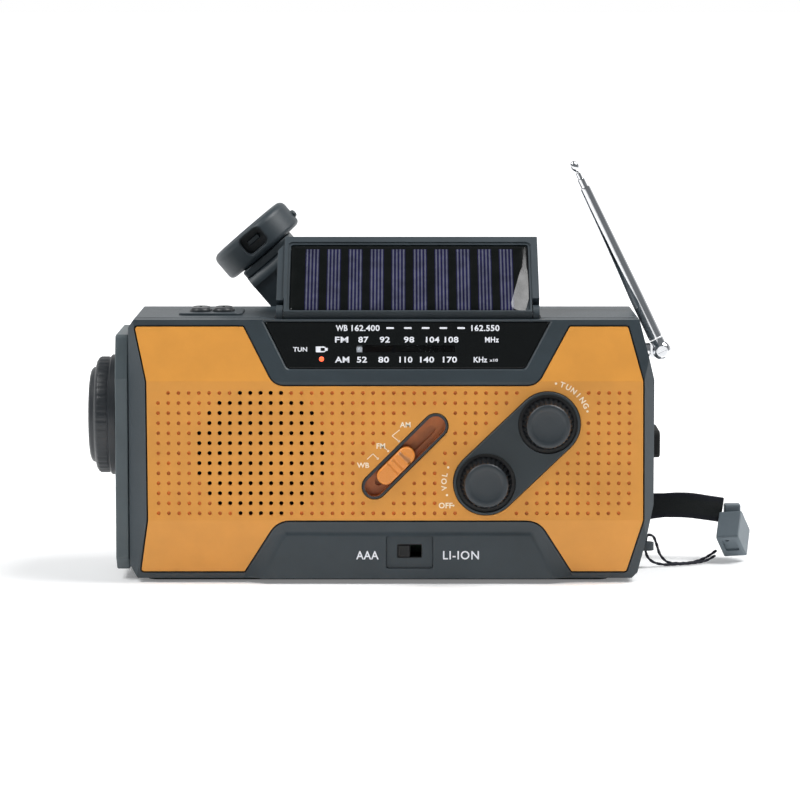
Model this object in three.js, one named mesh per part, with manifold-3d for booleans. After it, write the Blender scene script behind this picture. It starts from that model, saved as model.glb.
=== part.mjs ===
// A portable emergency radio: moulded case, orange front panel, solar lid, hand crank,
// end flashlight, telescopic antenna and wrist strap.
// Millimetres, +Z up, +X to the right seen from the front, +Y to the rear.
// The origin is the centre of the base pad's underside.

import * as THREE from "three";
import { mergeGeometries, mergeVertices } from "three/addons/utils/BufferGeometryUtils.js";
import Module from "manifold-3d";

const wasm = await Module();
wasm.setup();

// ---------------------------------------------------------------- driving dimensions

const GAP = 0.3; // air between pieces that touch or slide
const CASE_WALL = 2.8;
const CASE_FRONT = -33;
const CASE_REAR = 33;
const CASE_BOTTOM = 1.5;
const CASE_TOP = 94;
const CASE_LEFT = -93.5;
const CASE_RIGHT = 93.6;
const CASE_SPLIT = 18; // plane where the two shells meet
const LOWER_FOLD = 23; // the front face leans in below this height
const UPPER_FOLD = 72.6; // and leans back above this one
const UPPER_LEAN = 6;
const LOWER_LEAN = 5;
const LEFT_BEVEL_WIDTH = 6.8;
const LEFT_BEVEL_DEPTH = 8;
const RIGHT_BEVEL_WIDTH = 3.9;
const RIGHT_BEVEL_DEPTH = 5;
const EDGE_BREAK = 2;

const PAD_INSET = 6;
const PANEL_THICK = 1.3;
const PANEL_SEAT = 1.6;
const PANEL_GROOVE = 0.4;
const CENTRE_X = 6; // middle of the dial, the solar lid and the lower block

const HOLE_PITCH_X = 3.63;
const HOLE_PITCH_Z = 3.58;
const HOLE_RADIUS = 0.7;
const HOLE_FIELD = 41; // squared radius of the pierced field, in pitches
const SPEAKER_X = -46.2;
const SPEAKER_Z = 47;
const SPEAKER_RADIUS = 26;
const SPEAKER_DEPTH = 18;

const KNOB_PLATE_RADIUS = 11.5;
const KNOB_WELL_RADIUS = 10.6;
const KNOB_PLATE_PROUD = 0.9;
const TUNING_X = 55.6;
const TUNING_Z = 57.4;
const VOLUME_X = 33.7;
const VOLUME_Z = 36.4;
const KNOB_SKIRT_RADIUS = 9.2;
const KNOB_CAP_RADIUS = 7.5;
const KNOB_HEIGHT = 8;
const KNOB_SHAFT_RADIUS = 3;

const SLOT_X = 5;
const SLOT_Z = 45.9;
const SLOT_HALF = 15.3; // from the slot's middle to the centre of each round end
const SLOT_RADIUS = 4.4;
const SLOT_RIM = 0.8;
const SLOT_DEPTH = 4.6;
const SLIDER_HALF = 8.2;
const SLIDER_RADIUS = 3.1;
const SLIDER_REST = -4.6; // along the slot, from its middle

const SWITCH_X = 6.6;
const SWITCH_Z = 11.8;
const SWITCH_TRAVEL = 4;

const HINGE_Y = -19.5;
const HINGE_Z = 95;
const LID_TILT = THREE.MathUtils.degToRad(37.5);
const LID_HALF_WIDTH = 47;
const LID_LENGTH = 38;
const LID_HALF_THICK = 4;
const LID_BORDER = 3.6;
const POCKET_HALF_WIDTH = 47.6;
const POCKET_CLEARANCE = 0.5;
const POCKET_WALL = 1.5;
const POCKET_FLOOR = 90.4;
const POCKET_REAR = 26;
const HINGE_PIN_RADIUS = 1.3;
const HINGE_LUG = 2.3;
const HINGE_LUG_INNER = 44.6; // from the lid's middle
const HINGE_LUG_RADIUS = 3.6;
const HINGE_NOTCH_END = 4.6;

const CRANK_X = -11;
const CRANK_Z = 71;
const CRANK_DIRECTION = new THREE.Vector2(-0.65, 0.76); // in X and Z, from the shaft to the knob
const CRANK_BOSS_RADIUS = 10;
const CRANK_BOSS_REAR = 35;
const SHAFT_RADIUS = 3;
const ARM_FRONT = 35.4;
const ARM_REAR = 42.4;
const ARM_HALF_WIDTH = 11;
const FOLD_RADIUS = 48.3; // from the shaft to the fold pin
const FOLD_PIN_RADIUS = 1.4;
const EAR_INNER = 5.5;
const EAR_REACH = 3.4;
const STEM_OFFSET = 3.9;
const STEM_PLATE = 3;
const EAR_RADIUS = 3.5;
const NOTCH_DEPTH = 4.2; // from the fold pin towards the shaft
const SHAFT_HOLE_FLOOR = 1.4; // what the arm keeps behind its shaft hole
const FLANGE_CORNER = 3;
const FLANGE_BEYOND = 8; // past the knob's axis
const KNOB_CAP_THICK = 3.4; // what the knob keeps in front of its bore
const GRIP_HOLE_END = 8; // from the knob's axis
const GRIP_HOLE_HALF_HEIGHT = 4.8;
const PIN_END_INSET = 0.4;
const NECK_HALF = 3.3; // half the thickness of the stem's neck at the fold
const KNOB_EDGE = 1.6; // rounding at the knob's back edge
const KNOB_DOME = 3.2; // rounding at the knob's front edge
const CRANK_KNOB_RADIUS = 16.7;
const CRANK_KNOB_THICK = 11;
const GRIP_HOLE_SHIFT = 0.8; // towards the knob's outer face
const GRIP_HOLE_HALF = 3.7;
const CRANK_KNOB_Y = 50.5;
const SPINDLE_RADIUS = 2.5;

const MODULE_MM = 1; // gear tooth size
const DRIVE_TEETH = 28;
const IDLER_PINION_TEETH = 10;
const IDLER_WHEEL_TEETH = 24;
const GENERATOR_TEETH = 8;
const IDLER_ANGLE = THREE.MathUtils.degToRad(-26.6);
const GENERATOR_ANGLE = THREE.MathUtils.degToRad(-15.6);
const DRIVE_LAYER = [22.3, 26.6];
const WHEEL_LAYER = [16, 20];
const IDLER_SHAFT_RADIUS = 1.5;
const TOOTH_ROOT = 1.2; // depth below the pitch circle, in modules
const TOOTH_TIP = 0.8; // height above the pitch circle, in modules
const ROOT_SHARE = 0.3; // of one tooth step, from the tooth's middle
const TIP_SHARE = 0.1;
const GENERATOR_SHAFT_RADIUS = 1;
const GENERATOR_RADIUS = 12;
const GENERATOR_LAYER = [-9, 14];
const BRACKET_LAYER = [27.4, 28.9];
const BRACKET_X = [-23, 38];
const BRACKET_Z = [51, 84];
const THROUGH_GEARS = [20, 30];

const CAP_LEFT = -98.5;
const END_CAP_TOP = 88;
const CAP_WINDOW_RADIUS = 15.6;
const LAMP_Z = 57.2;
const LAMP_RADIUS = 21.8;
const LAMP_RIM_RADIUS = 16.6;
const LAMP_LEFT = -106;
const LAMP_NOSE = -108.8;
const LAMP_BORE_RADIUS = 17;
const LAMP_OPENING_RADIUS = 14;
const LENS_RADIUS = 16.4;
const LENS_BACK = 5.4;

const BUTTON_PAD = { left: -76.5, right: -53.5, front: -9, rear: 15, proud: 0.8 };
const BUTTON_TRAVEL_ROOM = 3;
const BUTTON_PROUD = 2.2;
const BUTTON_X = [-69, -60.8];
const BUTTON_Y = 3;
const BUTTON_HALF_LENGTH = 3.4;
const BUTTON_RADIUS = 3.7;
const PAD_CORNER = 3;

const PORT_Z = 47.8;
const PORT_HOLE_HALF_HEIGHT = 4.1;

const ANTENNA_Y = 12;
const KNUCKLE_X = 98.9;
const KNUCKLE_Z = 79.4;
const ANTENNA_LEAN = THREE.MathUtils.degToRad(25.6);
const TUBE_RADII = [2.7, 1.4, 0.95, 0.55];
const TUBE_BORES = [1.7, 1.2, 0.8];
const TUBE_STARTS = [5, 9, 11, 13];
const TUBE_ENDS = [66, 69.5, 71.8, 73];
const TAPER_START = 22;
const TAPER_END_RADIUS = 2;
const TIP_END = 76.6;
const TIP_RADIUS = 1.7;
const ANTENNA_BARREL_RADIUS = 2.9;
const ANTENNA_HOLE_RADIUS = 3.4;
const BARREL_BEFORE_KNUCKLE = 4.2;
const TONGUE_HALF_THICK = 0.9;
const TONGUE_RADIUS = 2.4;
const BALL_RADIUS = 3.6;
const MAST_NECK_RADIUS = 2.6;

const DOOR = { left: -36, right: 26, low: 13, high: 50 };
const DOOR_THICK = 1.8;
const AAA_RADIUS = 5.25;
const AAA_Y = 24.6;
const AAA_LENGTH = 44.5;
const AAA_HEIGHTS = [19.4, 31, 42.6];

const STRAP_WIDTH = 9;
const STRAP_THICK = 1.1;
const STRAP_CORD_RADIUS = 0.55;
const LOCK_WIDTH = 8.6;
const LOCK_DEPTH = 13;
const LOCK_HEIGHT = 12;

// ---------------------------------------------------------------- shape helpers

// A closed geometry as a solid that can be joined and cut.
function solid(geometry) {
  const bare = geometry.index ? geometry.toNonIndexed() : geometry.clone();
  bare.deleteAttribute("normal");
  bare.deleteAttribute("uv");
  const merged = mergeVertices(bare, 1e-4);
  const kept = [];
  const index = merged.index.array;
  for (let i = 0; i < index.length; i += 3) {
    const [a, b, c] = index.slice(i, i + 3);
    if (a !== b && b !== c && a !== c) kept.push(a, b, c);
  }
  return new wasm.Manifold(
    new wasm.Mesh({
      numProp: 3,
      vertProperties: merged.attributes.position.array,
      triVerts: new Uint32Array(kept),
    }),
  );
}

function joined(first, ...others) {
  return others.reduce((sum, next) => sum.add(next), first);
}

function cut(first, ...others) {
  return others.reduce((rest, next) => rest.subtract(next), first);
}

// Many separate closed geometries as one cutter.
function together(geometries) {
  return solid(mergeGeometries(geometries.map((geometry) => geometry.toNonIndexed())));
}

function shapeOf(points) {
  return new THREE.Shape(points.map(([across, up]) => new THREE.Vector2(across, up)));
}

function anticlockwise(points) {
  const ring = points.map(([across, up]) => new THREE.Vector2(across, up));
  return THREE.ShapeUtils.isClockWise(ring) ? [...points].reverse() : points;
}

function prism(points, depth) {
  const shape = shapeOf(anticlockwise(points));
  return new THREE.ExtrudeGeometry(shape, { depth, bevelEnabled: false });
}

// Prisms along each axis: points are (Y, Z), (X, Z) and (X, Y).
function alongX(points, from, to) {
  const turn = new THREE.Matrix4().makeBasis(
    new THREE.Vector3(0, 1, 0),
    new THREE.Vector3(0, 0, 1),
    new THREE.Vector3(1, 0, 0),
  );
  return solid(prism(points, to - from).applyMatrix4(turn).translate(from, 0, 0));
}

function alongY(points, from, to) {
  return solid(prism(points, to - from).rotateX(Math.PI / 2).translate(0, to, 0));
}

function alongZ(points, from, to) {
  return solid(prism(points, to - from).translate(0, 0, from));
}

function box([left, right], [front, rear], [low, high]) {
  const geometry = new THREE.BoxGeometry(right - left, rear - front, high - low);
  geometry.translate((left + right) / 2, (front + rear) / 2, (low + high) / 2);
  return solid(geometry);
}

function rodGeometry(from, to, radius, sides) {
  const start = new THREE.Vector3(...from);
  const end = new THREE.Vector3(...to);
  const along = end.clone().sub(start);
  const geometry = new THREE.CylinderGeometry(radius, radius, along.length(), sides);
  const up = new THREE.Vector3(0, 1, 0);
  const turn = new THREE.Quaternion().setFromUnitVectors(up, along.normalize());
  const middle = start.add(end).multiplyScalar(0.5);
  return geometry.applyQuaternion(turn).translate(middle.x, middle.y, middle.z);
}

function rod(from, to, radius, sides = 16) {
  return solid(rodGeometry(from, to, radius, sides));
}

// A turned solid: profile rows are (radius, height); the axis is +Y until a piece turns it.
function turned(profile, sides) {
  const points = profile.map(([radius, height]) => new THREE.Vector2(radius, height));
  return new THREE.LatheGeometry(points, sides);
}

// The outline with each edge moved inwards by the distance, outwards when it is negative.
function inset(points, distance) {
  const ring = anticlockwise(points).map(([across, up]) => new THREE.Vector2(across, up));
  return ring.map((corner, i) => {
    const before = ring[(i + ring.length - 1) % ring.length];
    const after = ring[(i + 1) % ring.length];
    const arriving = corner.clone().sub(before).normalize();
    const leaving = after.clone().sub(corner).normalize();
    const inwards = new THREE.Vector2(-arriving.y - leaving.y, arriving.x + leaving.x);
    const reach = distance / (1 + arriving.dot(leaving));
    return [corner.x + inwards.x * reach, corner.y + inwards.y * reach];
  });
}

// A straight slot outline with round ends, lying at an angle.
function capsule(x, z, half, radius, angle, arcSteps = 8) {
  const points = [];
  for (const side of [1, -1]) {
    for (let i = 0; i <= arcSteps; i++) {
      const turn = angle + (side > 0 ? 0 : Math.PI) + Math.PI * (i / arcSteps - 0.5);
      const middle = side * half;
      points.push([
        x + middle * Math.cos(angle) + radius * Math.cos(turn),
        z + middle * Math.sin(angle) + radius * Math.sin(turn),
      ]);
    }
  }
  return points;
}

function circle(x, z, radius, sides) {
  return Array.from({ length: sides }, (_, i) => {
    const turn = (2 * Math.PI * i) / sides;
    return [x + radius * Math.cos(turn), z + radius * Math.sin(turn)];
  });
}

// A rectangle with rounded corners, (low, high) across and up.
function roundedBox([left, right], [low, high], radius, steps = 3) {
  const corners = [
    [right - radius, high - radius],
    [left + radius, high - radius],
    [left + radius, low + radius],
    [right - radius, low + radius],
  ];
  return corners.flatMap(([across, up], quarter) =>
    Array.from({ length: steps + 1 }, (_, i) => {
      const turn = (Math.PI / 2) * (quarter + i / steps);
      return [across + radius * Math.cos(turn), up + radius * Math.sin(turn)];
    }),
  );
}

const radio = new THREE.Group();

// Adds a solid, or a closed geometry, to the model as one named piece.
function piece(name, shape, material, parent = radio) {
  const made = shape.isBufferGeometry ? solid(shape) : shape;
  const { numProp, vertProperties, triVerts } = made.getMesh();
  const positions = new Float32Array((vertProperties.length / numProp) * 3);
  for (let i = 0; i < positions.length / 3; i++) {
    positions.set(vertProperties.subarray(i * numProp, i * numProp + 3), i * 3);
  }
  const geometry = new THREE.BufferGeometry();
  geometry.setAttribute("position", new THREE.BufferAttribute(positions, 3));
  geometry.setIndex(new THREE.BufferAttribute(triVerts, 1));
  geometry.computeVertexNormals();
  const mesh = new THREE.Mesh(geometry, material);
  mesh.name = name;
  parent.add(mesh);
  return mesh;
}

function finish(color, roughness, metalness = 0) {
  return new THREE.MeshStandardMaterial({ color, roughness, metalness });
}

const charcoal = () => finish(0x40484f, 0.55);
const darkPlastic = () => finish(0x25282c, 0.5);
const orange = () => finish(0xdb9b50, 0.6);
const rubber = () => finish(0x1c1d1f, 0.85);
const chrome = () => finish(0xd2d5d8, 0.15, 1);
const steel = () => finish(0x9a9da1, 0.35, 1);
const whiteNylon = () => finish(0xd9d6cc, 0.6);

// ---------------------------------------------------------------- case outlines

const sideProfile = [
  [CASE_FRONT, LOWER_FOLD],
  [CASE_FRONT + LOWER_LEAN, CASE_BOTTOM],
  [CASE_REAR - EDGE_BREAK, CASE_BOTTOM],
  [CASE_REAR, CASE_BOTTOM + EDGE_BREAK],
  [CASE_REAR, CASE_TOP - EDGE_BREAK],
  [CASE_REAR - EDGE_BREAK, CASE_TOP],
  [CASE_FRONT + UPPER_LEAN, CASE_TOP],
  [CASE_FRONT, UPPER_FOLD],
];

const frontProfile = [
  [CASE_LEFT + 3, CASE_BOTTOM],
  [86, CASE_BOTTOM],
  [88, 3.6],
  [CASE_RIGHT, 28],
  [CASE_RIGHT, UPPER_FOLD],
  [88.2, CASE_TOP],
  [CASE_LEFT + 2, CASE_TOP],
  [CASE_LEFT, CASE_TOP - 3],
  [CASE_LEFT, 6],
];

const planProfile = [
  [CASE_LEFT + LEFT_BEVEL_WIDTH, CASE_FRONT],
  [CASE_RIGHT - RIGHT_BEVEL_WIDTH, CASE_FRONT],
  [CASE_RIGHT, CASE_FRONT + RIGHT_BEVEL_DEPTH],
  [CASE_RIGHT, CASE_REAR - EDGE_BREAK],
  [CASE_RIGHT - EDGE_BREAK, CASE_REAR],
  [CASE_LEFT + EDGE_BREAK, CASE_REAR],
  [CASE_LEFT, CASE_REAR - EDGE_BREAK],
  [CASE_LEFT, CASE_FRONT + LEFT_BEVEL_DEPTH],
];

const FAR = 130; // reaches past the case on every side

// The faceted block of the case, made smaller all round by the margin.
function caseBlock(margin) {
  return alongX(inset(sideProfile, margin), -FAR, FAR)
    .intersect(alongY(inset(frontProfile, margin), -FAR, FAR))
    .intersect(alongZ(inset(planProfile, margin), -FAR, FAR));
}

const frontPanelOutline = [
  [-91, 91.7],
  [-91.2, 91.2],
  [-86.7, UPPER_FOLD],
  [-86.4, LOWER_FOLD],
  [-89.4, 4.2],
  [-89, 3.9],
  [-52.2, 3.9],
  [-44, 17],
  [-41.4, 20.7],
  [-37.6, 22.8],
  [49.4, 22.8],
  [53.2, 20.7],
  [56, 17.3],
  [64.4, 3.9],
  [83.6, 3.9],
  [84.2, 4.4],
  [89.7, LOWER_FOLD],
  [89.4, UPPER_FOLD],
  [84.4, 91.2],
  [83.8, 91.7],
  [63.4, 91.7],
  [54, 75],
  [52, 72.2],
  [49, 71],
  [-38, 71],
  [-41, 72],
  [-43.4, 74.6],
  [-52.4, 91.7],
];

const dialTilt = Math.atan2(UPPER_LEAN, CASE_TOP - UPPER_FOLD);

const outerBlock = caseBlock(0);
const cavityBlock = caseBlock(CASE_WALL);
const slotAngle = Math.PI / 4;
const knobAngle = Math.atan2(TUNING_Z - VOLUME_Z, TUNING_X - VOLUME_X);
const knobMiddle = [(TUNING_X + VOLUME_X) / 2, (TUNING_Z + VOLUME_Z) / 2];
const knobHalf = Math.hypot(TUNING_X - VOLUME_X, TUNING_Z - VOLUME_Z) / 2;

// ---------------------------------------------------------------- the two shells

// Turns a solid from the leaning dial's own frame into the radio's.
function ontoDial(shape) {
  return shape.rotate([-THREE.MathUtils.radToDeg(dialTilt), 0, 0]).translate([0, CASE_FRONT, UPPER_FOLD]);
}

const dialOutline = [
  [-36.6, 4.8],
  [47.4, 4.8],
  [56.2, 21.4],
  [-44.8, 21.4],
];
const WINDOW_THICK = 0.7;
const SCALE_FRONT = 1;
const SCALE_REAR = 1.5;
const DIAL_SEAT = 1.8;
const POINTER_ROW = 11.8;
const POINTER_HALF_HEIGHT = 0.95;
const POINTER_REAR = 3.4;
const POINTER_X = -11.2;
const POINTER_HALF_WIDTH = 1;
const POINTER_TRAVEL = 32.6;
const LED_X = -24.6;
const LED_ROW = 8.1;
const LED_RADIUS = 1.1;

function pointerChannel(margin) {
  return [
    [POINTER_X - POINTER_HALF_WIDTH - margin, POINTER_X + POINTER_TRAVEL + POINTER_HALF_WIDTH + margin],
    [POINTER_ROW - POINTER_HALF_HEIGHT - margin, POINTER_ROW + POINTER_HALF_HEIGHT + margin],
  ];
}

function dialSeatCutter() {
  const [channelX, channelZ] = pointerChannel(0.8);
  return joined(
    alongY(inset(dialOutline, -GAP), -3, DIAL_SEAT),
    box(channelX, [0, 6], channelZ),
    rod([LED_X, 0, LED_ROW], [LED_X, 8, LED_ROW], LED_RADIUS + GAP, 12),
  );
}

function hingeLug(side) {
  const inner = CENTRE_X + side * HINGE_LUG_INNER;
  const outer = inner + side * HINGE_LUG;
  const span = [Math.min(inner, outer), Math.max(inner, outer)];
  const top = rod([span[0], HINGE_Y, HINGE_Z], [span[1], HINGE_Y, HINGE_Z], HINGE_LUG_RADIUS);
  const foot = box(
    span,
    [HINGE_Y - HINGE_LUG_RADIUS, HINGE_Y + HINGE_LUG_RADIUS],
    [POCKET_FLOOR - 1, HINGE_Z],
  );
  return joined(top, foot);
}

function frontCase() {
  const shell = cut(outerBlock, cavityBlock);
  const front = box([-FAR, FAR], [-FAR, CASE_SPLIT], [-FAR, FAR]);
  const panelSeat = alongY(inset(frontPanelOutline, -PANEL_GROOVE), -FAR, 0).subtract(
    caseBlock(PANEL_SEAT),
  );
  const block = alongY(
    [
      [-46, 2.2],
      [60, 2.2],
      [50.6, 22.2],
      [-35, 22.2],
    ],
    CASE_FRONT + 0.5,
    CASE_FRONT + LOWER_LEAN + CASE_WALL,
  );
  const tray = box(
    [CENTRE_X - POCKET_HALF_WIDTH - CASE_WALL, CENTRE_X + POCKET_HALF_WIDTH + CASE_WALL],
    [HINGE_Y - LID_HALF_THICK - POCKET_CLEARANCE - POCKET_WALL, CASE_SPLIT],
    [POCKET_FLOOR - CASE_WALL, CASE_TOP - 1],
  );
  const pocket = box(
    [CENTRE_X - POCKET_HALF_WIDTH, CENTRE_X + POCKET_HALF_WIDTH],
    [HINGE_Y - LID_HALF_THICK - POCKET_CLEARANCE, POCKET_REAR],
    [POCKET_FLOOR, FAR],
  );
  const hinge = rod([-FAR, HINGE_Y, HINGE_Z], [FAR, HINGE_Y, HINGE_Z], HINGE_PIN_RADIUS + GAP, 12);
  const speakerHole = alongY(circle(SPEAKER_X, SPEAKER_Z, SPEAKER_RADIUS - 1, 32), -FAR, 0);
  const knobHoles = [
    [TUNING_X, TUNING_Z],
    [VOLUME_X, VOLUME_Z],
  ].map(([x, z]) => rod([x, CASE_FRONT, z], [x, 0, z], KNOB_SHAFT_RADIUS + 0.5, 16));
  const bandHole = alongY(capsule(SLOT_X, SLOT_Z, SLOT_HALF, SLOT_RADIUS + GAP, slotAngle), -FAR, 0);
  const switchHole = box(
    [SWITCH_X - 8.4, SWITCH_X + 8.4],
    [-FAR, CASE_FRONT + 2.2],
    [SWITCH_Z - 5.4, SWITCH_Z + 5.4],
  );
  const switchStemHole = box(
    [SWITCH_X - 4.6, SWITCH_X + 4.6],
    [-FAR, 0],
    [SWITCH_Z - 2.6, SWITCH_Z + 2.6],
  );
  const buttonHoles = BUTTON_X.map((x) =>
    alongZ(
      capsuleAlongY(x, BUTTON_Y, BUTTON_HALF_LENGTH, BUTTON_RADIUS + GAP),
      CASE_TOP - CASE_WALL - 1,
      FAR,
    ),
  );
  const antennaHole = rod(
    [60, ANTENNA_Y, KNUCKLE_Z],
    [FAR, ANTENNA_Y, KNUCKLE_Z],
    ANTENNA_HOLE_RADIUS,
    16,
  );
  const portHole = box(
    [60, FAR],
    [-6, 6],
    [PORT_Z - PORT_HOLE_HALF_HEIGHT, PORT_Z + PORT_HOLE_HALF_HEIGHT],
  );
  const lampHole = rod([-FAR, 0, LAMP_Z], [-60, 0, LAMP_Z], LAMP_OPENING_RADIUS, 24);
  return cut(
    joined(shell.intersect(front), block, tray)
      .subtract(pocket)
      .add(hingeLug(1))
      .add(hingeLug(-1)),
    hinge,
    panelSeat,
    ontoDial(dialSeatCutter()),
    speakerHole,
    ...knobHoles,
    bandHole,
    switchHole,
    switchStemHole,
    ...buttonHoles,
    antennaHole,
    portHole,
    lampHole,
  );
}

// A capsule whose long way runs along Y, for the top buttons.
function capsuleAlongY(x, y, half, radius) {
  return capsule(x, y, half, radius, Math.PI / 2, 6);
}

function rearCase() {
  const shell = cut(outerBlock, cavityBlock);
  const rear = box([-FAR, FAR], [CASE_SPLIT + GAP, FAR], [-FAR, FAR]);
  const boss = rod(
    [CRANK_X, CASE_REAR - 1, CRANK_Z],
    [CRANK_X, CRANK_BOSS_REAR, CRANK_Z],
    CRANK_BOSS_RADIUS,
    24,
  );
  const tray = box(
    [CENTRE_X - POCKET_HALF_WIDTH - CASE_WALL, CENTRE_X + POCKET_HALF_WIDTH + CASE_WALL],
    [CASE_SPLIT + GAP, POCKET_REAR + CASE_WALL],
    [POCKET_FLOOR - CASE_WALL, CASE_TOP - 1],
  );
  const pocket = box(
    [CENTRE_X - POCKET_HALF_WIDTH, CENTRE_X + POCKET_HALF_WIDTH],
    [0, POCKET_REAR],
    [POCKET_FLOOR, FAR],
  );
  const shaftHole = rod([CRANK_X, 20, CRANK_Z], [CRANK_X, FAR, CRANK_Z], SHAFT_RADIUS + GAP, 16);
  const doorway = box(
    [DOOR.left - GAP, DOOR.right + GAP],
    [CASE_REAR - 6, FAR],
    [DOOR.low - GAP, DOOR.high + GAP],
  );
  return cut(joined(shell.intersect(rear), boss, tray), pocket, shaftHole, doorway);
}

piece("front_case", frontCase(), charcoal());
piece("rear_case", rearCase(), charcoal());
piece(
  "base_pad",
  alongZ(
    roundedBox(
      [CASE_LEFT + PAD_INSET, 84 - PAD_INSET],
      [CASE_FRONT + LOWER_LEAN + PAD_INSET, CASE_REAR - PAD_INSET],
      4,
    ),
    0,
    CASE_BOTTOM - 0.1,
  ),
  rubber(),
);

// ---------------------------------------------------------------- front panel and speaker

function speakerHoleCentres() {
  const centres = [];
  for (let row = -6; row <= 6; row++) {
    for (let column = -6; column <= 6; column++) {
      if (row * row + column * column <= HOLE_FIELD) {
        centres.push([SPEAKER_X + column * HOLE_PITCH_X, SPEAKER_Z + row * HOLE_PITCH_Z]);
      }
    }
  }
  return centres;
}

function frontPanel() {
  const sheet = cut(outerBlock, caseBlock(PANEL_THICK)).intersect(alongY(frontPanelOutline, -FAR, 0));
  const holes = together(
    speakerHoleCentres().map(([x, z]) =>
      rodGeometry([x, CASE_FRONT - 1, z], [x, CASE_FRONT + 4, z], HOLE_RADIUS, 6),
    ),
  );
  const knobOpening = alongY(
    capsule(...knobMiddle, knobHalf, KNOB_PLATE_RADIUS + GAP, knobAngle, 12),
    -FAR,
    0,
  );
  const slotOpening = alongY(capsule(SLOT_X, SLOT_Z, SLOT_HALF, SLOT_RADIUS + GAP, slotAngle), -FAR, 0);
  return cut(sheet, holes, knobOpening, slotOpening);
}

function speaker() {
  const back = SPEAKER_DEPTH;
  const profile = [
    [0, 4],
    [8, 4.6],
    [22, 0.6],
    [25.6, 0.6],
    [25.6, 2.8],
    [23, 3],
    [14, 9],
    [14, back],
    [0, back],
  ];
  const front = CASE_FRONT + CASE_WALL + GAP;
  return turned(profile, 24).translate(SPEAKER_X, front, SPEAKER_Z);
}

piece("front_panel", frontPanel(), orange());
piece("speaker", speaker(), darkPlastic());

// ---------------------------------------------------------------- dial

const dial = new THREE.Group();
dial.position.set(0, CASE_FRONT, UPPER_FOLD);
dial.rotation.x = -dialTilt;
radio.add(dial);

function dialWindow() {
  const ledHole = rod([LED_X, -1, LED_ROW], [LED_X, 3, LED_ROW], LED_RADIUS + GAP, 12);
  return alongY(dialOutline, 0, WINDOW_THICK).subtract(ledHole);
}

function dialScale() {
  const [channelX, channelZ] = pointerChannel(0.4);
  const ledHole = rod([LED_X, -1, LED_ROW], [LED_X, 3, LED_ROW], LED_RADIUS + GAP, 12);
  return cut(alongY(dialOutline, SCALE_FRONT, SCALE_REAR), box(channelX, [0, 4], channelZ), ledHole);
}

piece("dial_window", dialWindow(), finish(0x101214, 0.1), dial);
piece("dial_scale", dialScale(), finish(0x0c0d0f, 0.6), dial);
piece(
  "dial_pointer",
  box(
    [POINTER_X - POINTER_HALF_WIDTH, POINTER_X + POINTER_HALF_WIDTH],
    [SCALE_FRONT, POINTER_REAR],
    [POINTER_ROW - POINTER_HALF_HEIGHT, POINTER_ROW + POINTER_HALF_HEIGHT],
  ),
  finish(0xf2f2ee, 0.5),
  dial,
);
piece(
  "power_led",
  rod([LED_X, 0.1, LED_ROW], [LED_X, 5, LED_ROW], LED_RADIUS, 12),
  finish(0xd83020, 0.3),
  dial,
);

// ---------------------------------------------------------------- knobs

function knobPlate() {
  const front = CASE_FRONT - KNOB_PLATE_PROUD;
  const plate = alongY(
    capsule(...knobMiddle, knobHalf, KNOB_PLATE_RADIUS, knobAngle, 12),
    front,
    CASE_FRONT + PANEL_THICK,
  );
  const centres = [
    [TUNING_X, TUNING_Z],
    [VOLUME_X, VOLUME_Z],
  ];
  const wells = centres.map(([x, z]) =>
    alongY(circle(x, z, KNOB_WELL_RADIUS, 32), front - 1, front + 1.2),
  );
  const bores = centres.map(([x, z]) => rod([x, front - 1, z], [x, 0, z], KNOB_SHAFT_RADIUS + 0.5, 16));
  return cut(plate, ...wells, ...bores);
}

function controlKnob(x, z) {
  const base = CASE_FRONT - KNOB_PLATE_PROUD + 0.9;
  const profile = [
    [0, -KNOB_HEIGHT],
    [KNOB_CAP_RADIUS - 1, -KNOB_HEIGHT],
    [KNOB_CAP_RADIUS, -KNOB_HEIGHT + 0.9],
    [KNOB_CAP_RADIUS, -2.6],
    [KNOB_SKIRT_RADIUS, -2],
    [KNOB_SKIRT_RADIUS, 0],
    [KNOB_SHAFT_RADIUS, 0],
    [KNOB_SHAFT_RADIUS, 8],
    [0, 8],
  ];
  return turned(profile, 24).translate(x, base, z);
}

const KNOB_SHAFT_REAR = CASE_FRONT - KNOB_PLATE_PROUD + 0.9 + 8;
const BOARD_FRONT = -15;

piece("knob_plate", knobPlate(), charcoal());
piece("tuning_knob", controlKnob(TUNING_X, TUNING_Z), darkPlastic());
piece("volume_knob", controlKnob(VOLUME_X, VOLUME_Z), darkPlastic());
piece(
  "tuning_capacitor",
  box(
    [TUNING_X - 10, TUNING_X + 10],
    [KNOB_SHAFT_REAR + GAP, BOARD_FRONT - GAP],
    [TUNING_Z - 10, TUNING_Z + 10],
  ),
  whiteNylon(),
);
piece(
  "volume_control",
  rod(
    [VOLUME_X, KNOB_SHAFT_REAR + GAP, VOLUME_Z],
    [VOLUME_X, BOARD_FRONT - GAP, VOLUME_Z],
    8,
    20,
  ),
  steel(),
);

// ---------------------------------------------------------------- band slot and slider

const SLOT_FLOOR_THICK = 1.4;
const TRACK_RADIUS = 1.4;
const SLIDER_STEM_HALF = 1.5;
const SLIDER_STEM_RADIUS = 0.9;
const BAND_SWITCH_HALF = [13, 4];

function bandSlot() {
  const front = CASE_FRONT - 0.4;
  const rear = CASE_FRONT + SLOT_DEPTH;
  const outer = alongY(capsule(SLOT_X, SLOT_Z, SLOT_HALF, SLOT_RADIUS, slotAngle), front, rear);
  const well = capsule(SLOT_X, SLOT_Z, SLOT_HALF, SLOT_RADIUS - SLOT_RIM, slotAngle);
  const track = capsule(SLOT_X, SLOT_Z, SLOT_HALF - 2, TRACK_RADIUS, slotAngle, 4);
  return cut(outer, alongY(well, front - 1, rear - SLOT_FLOOR_THICK), alongY(track, front, rear + 1));
}

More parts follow.
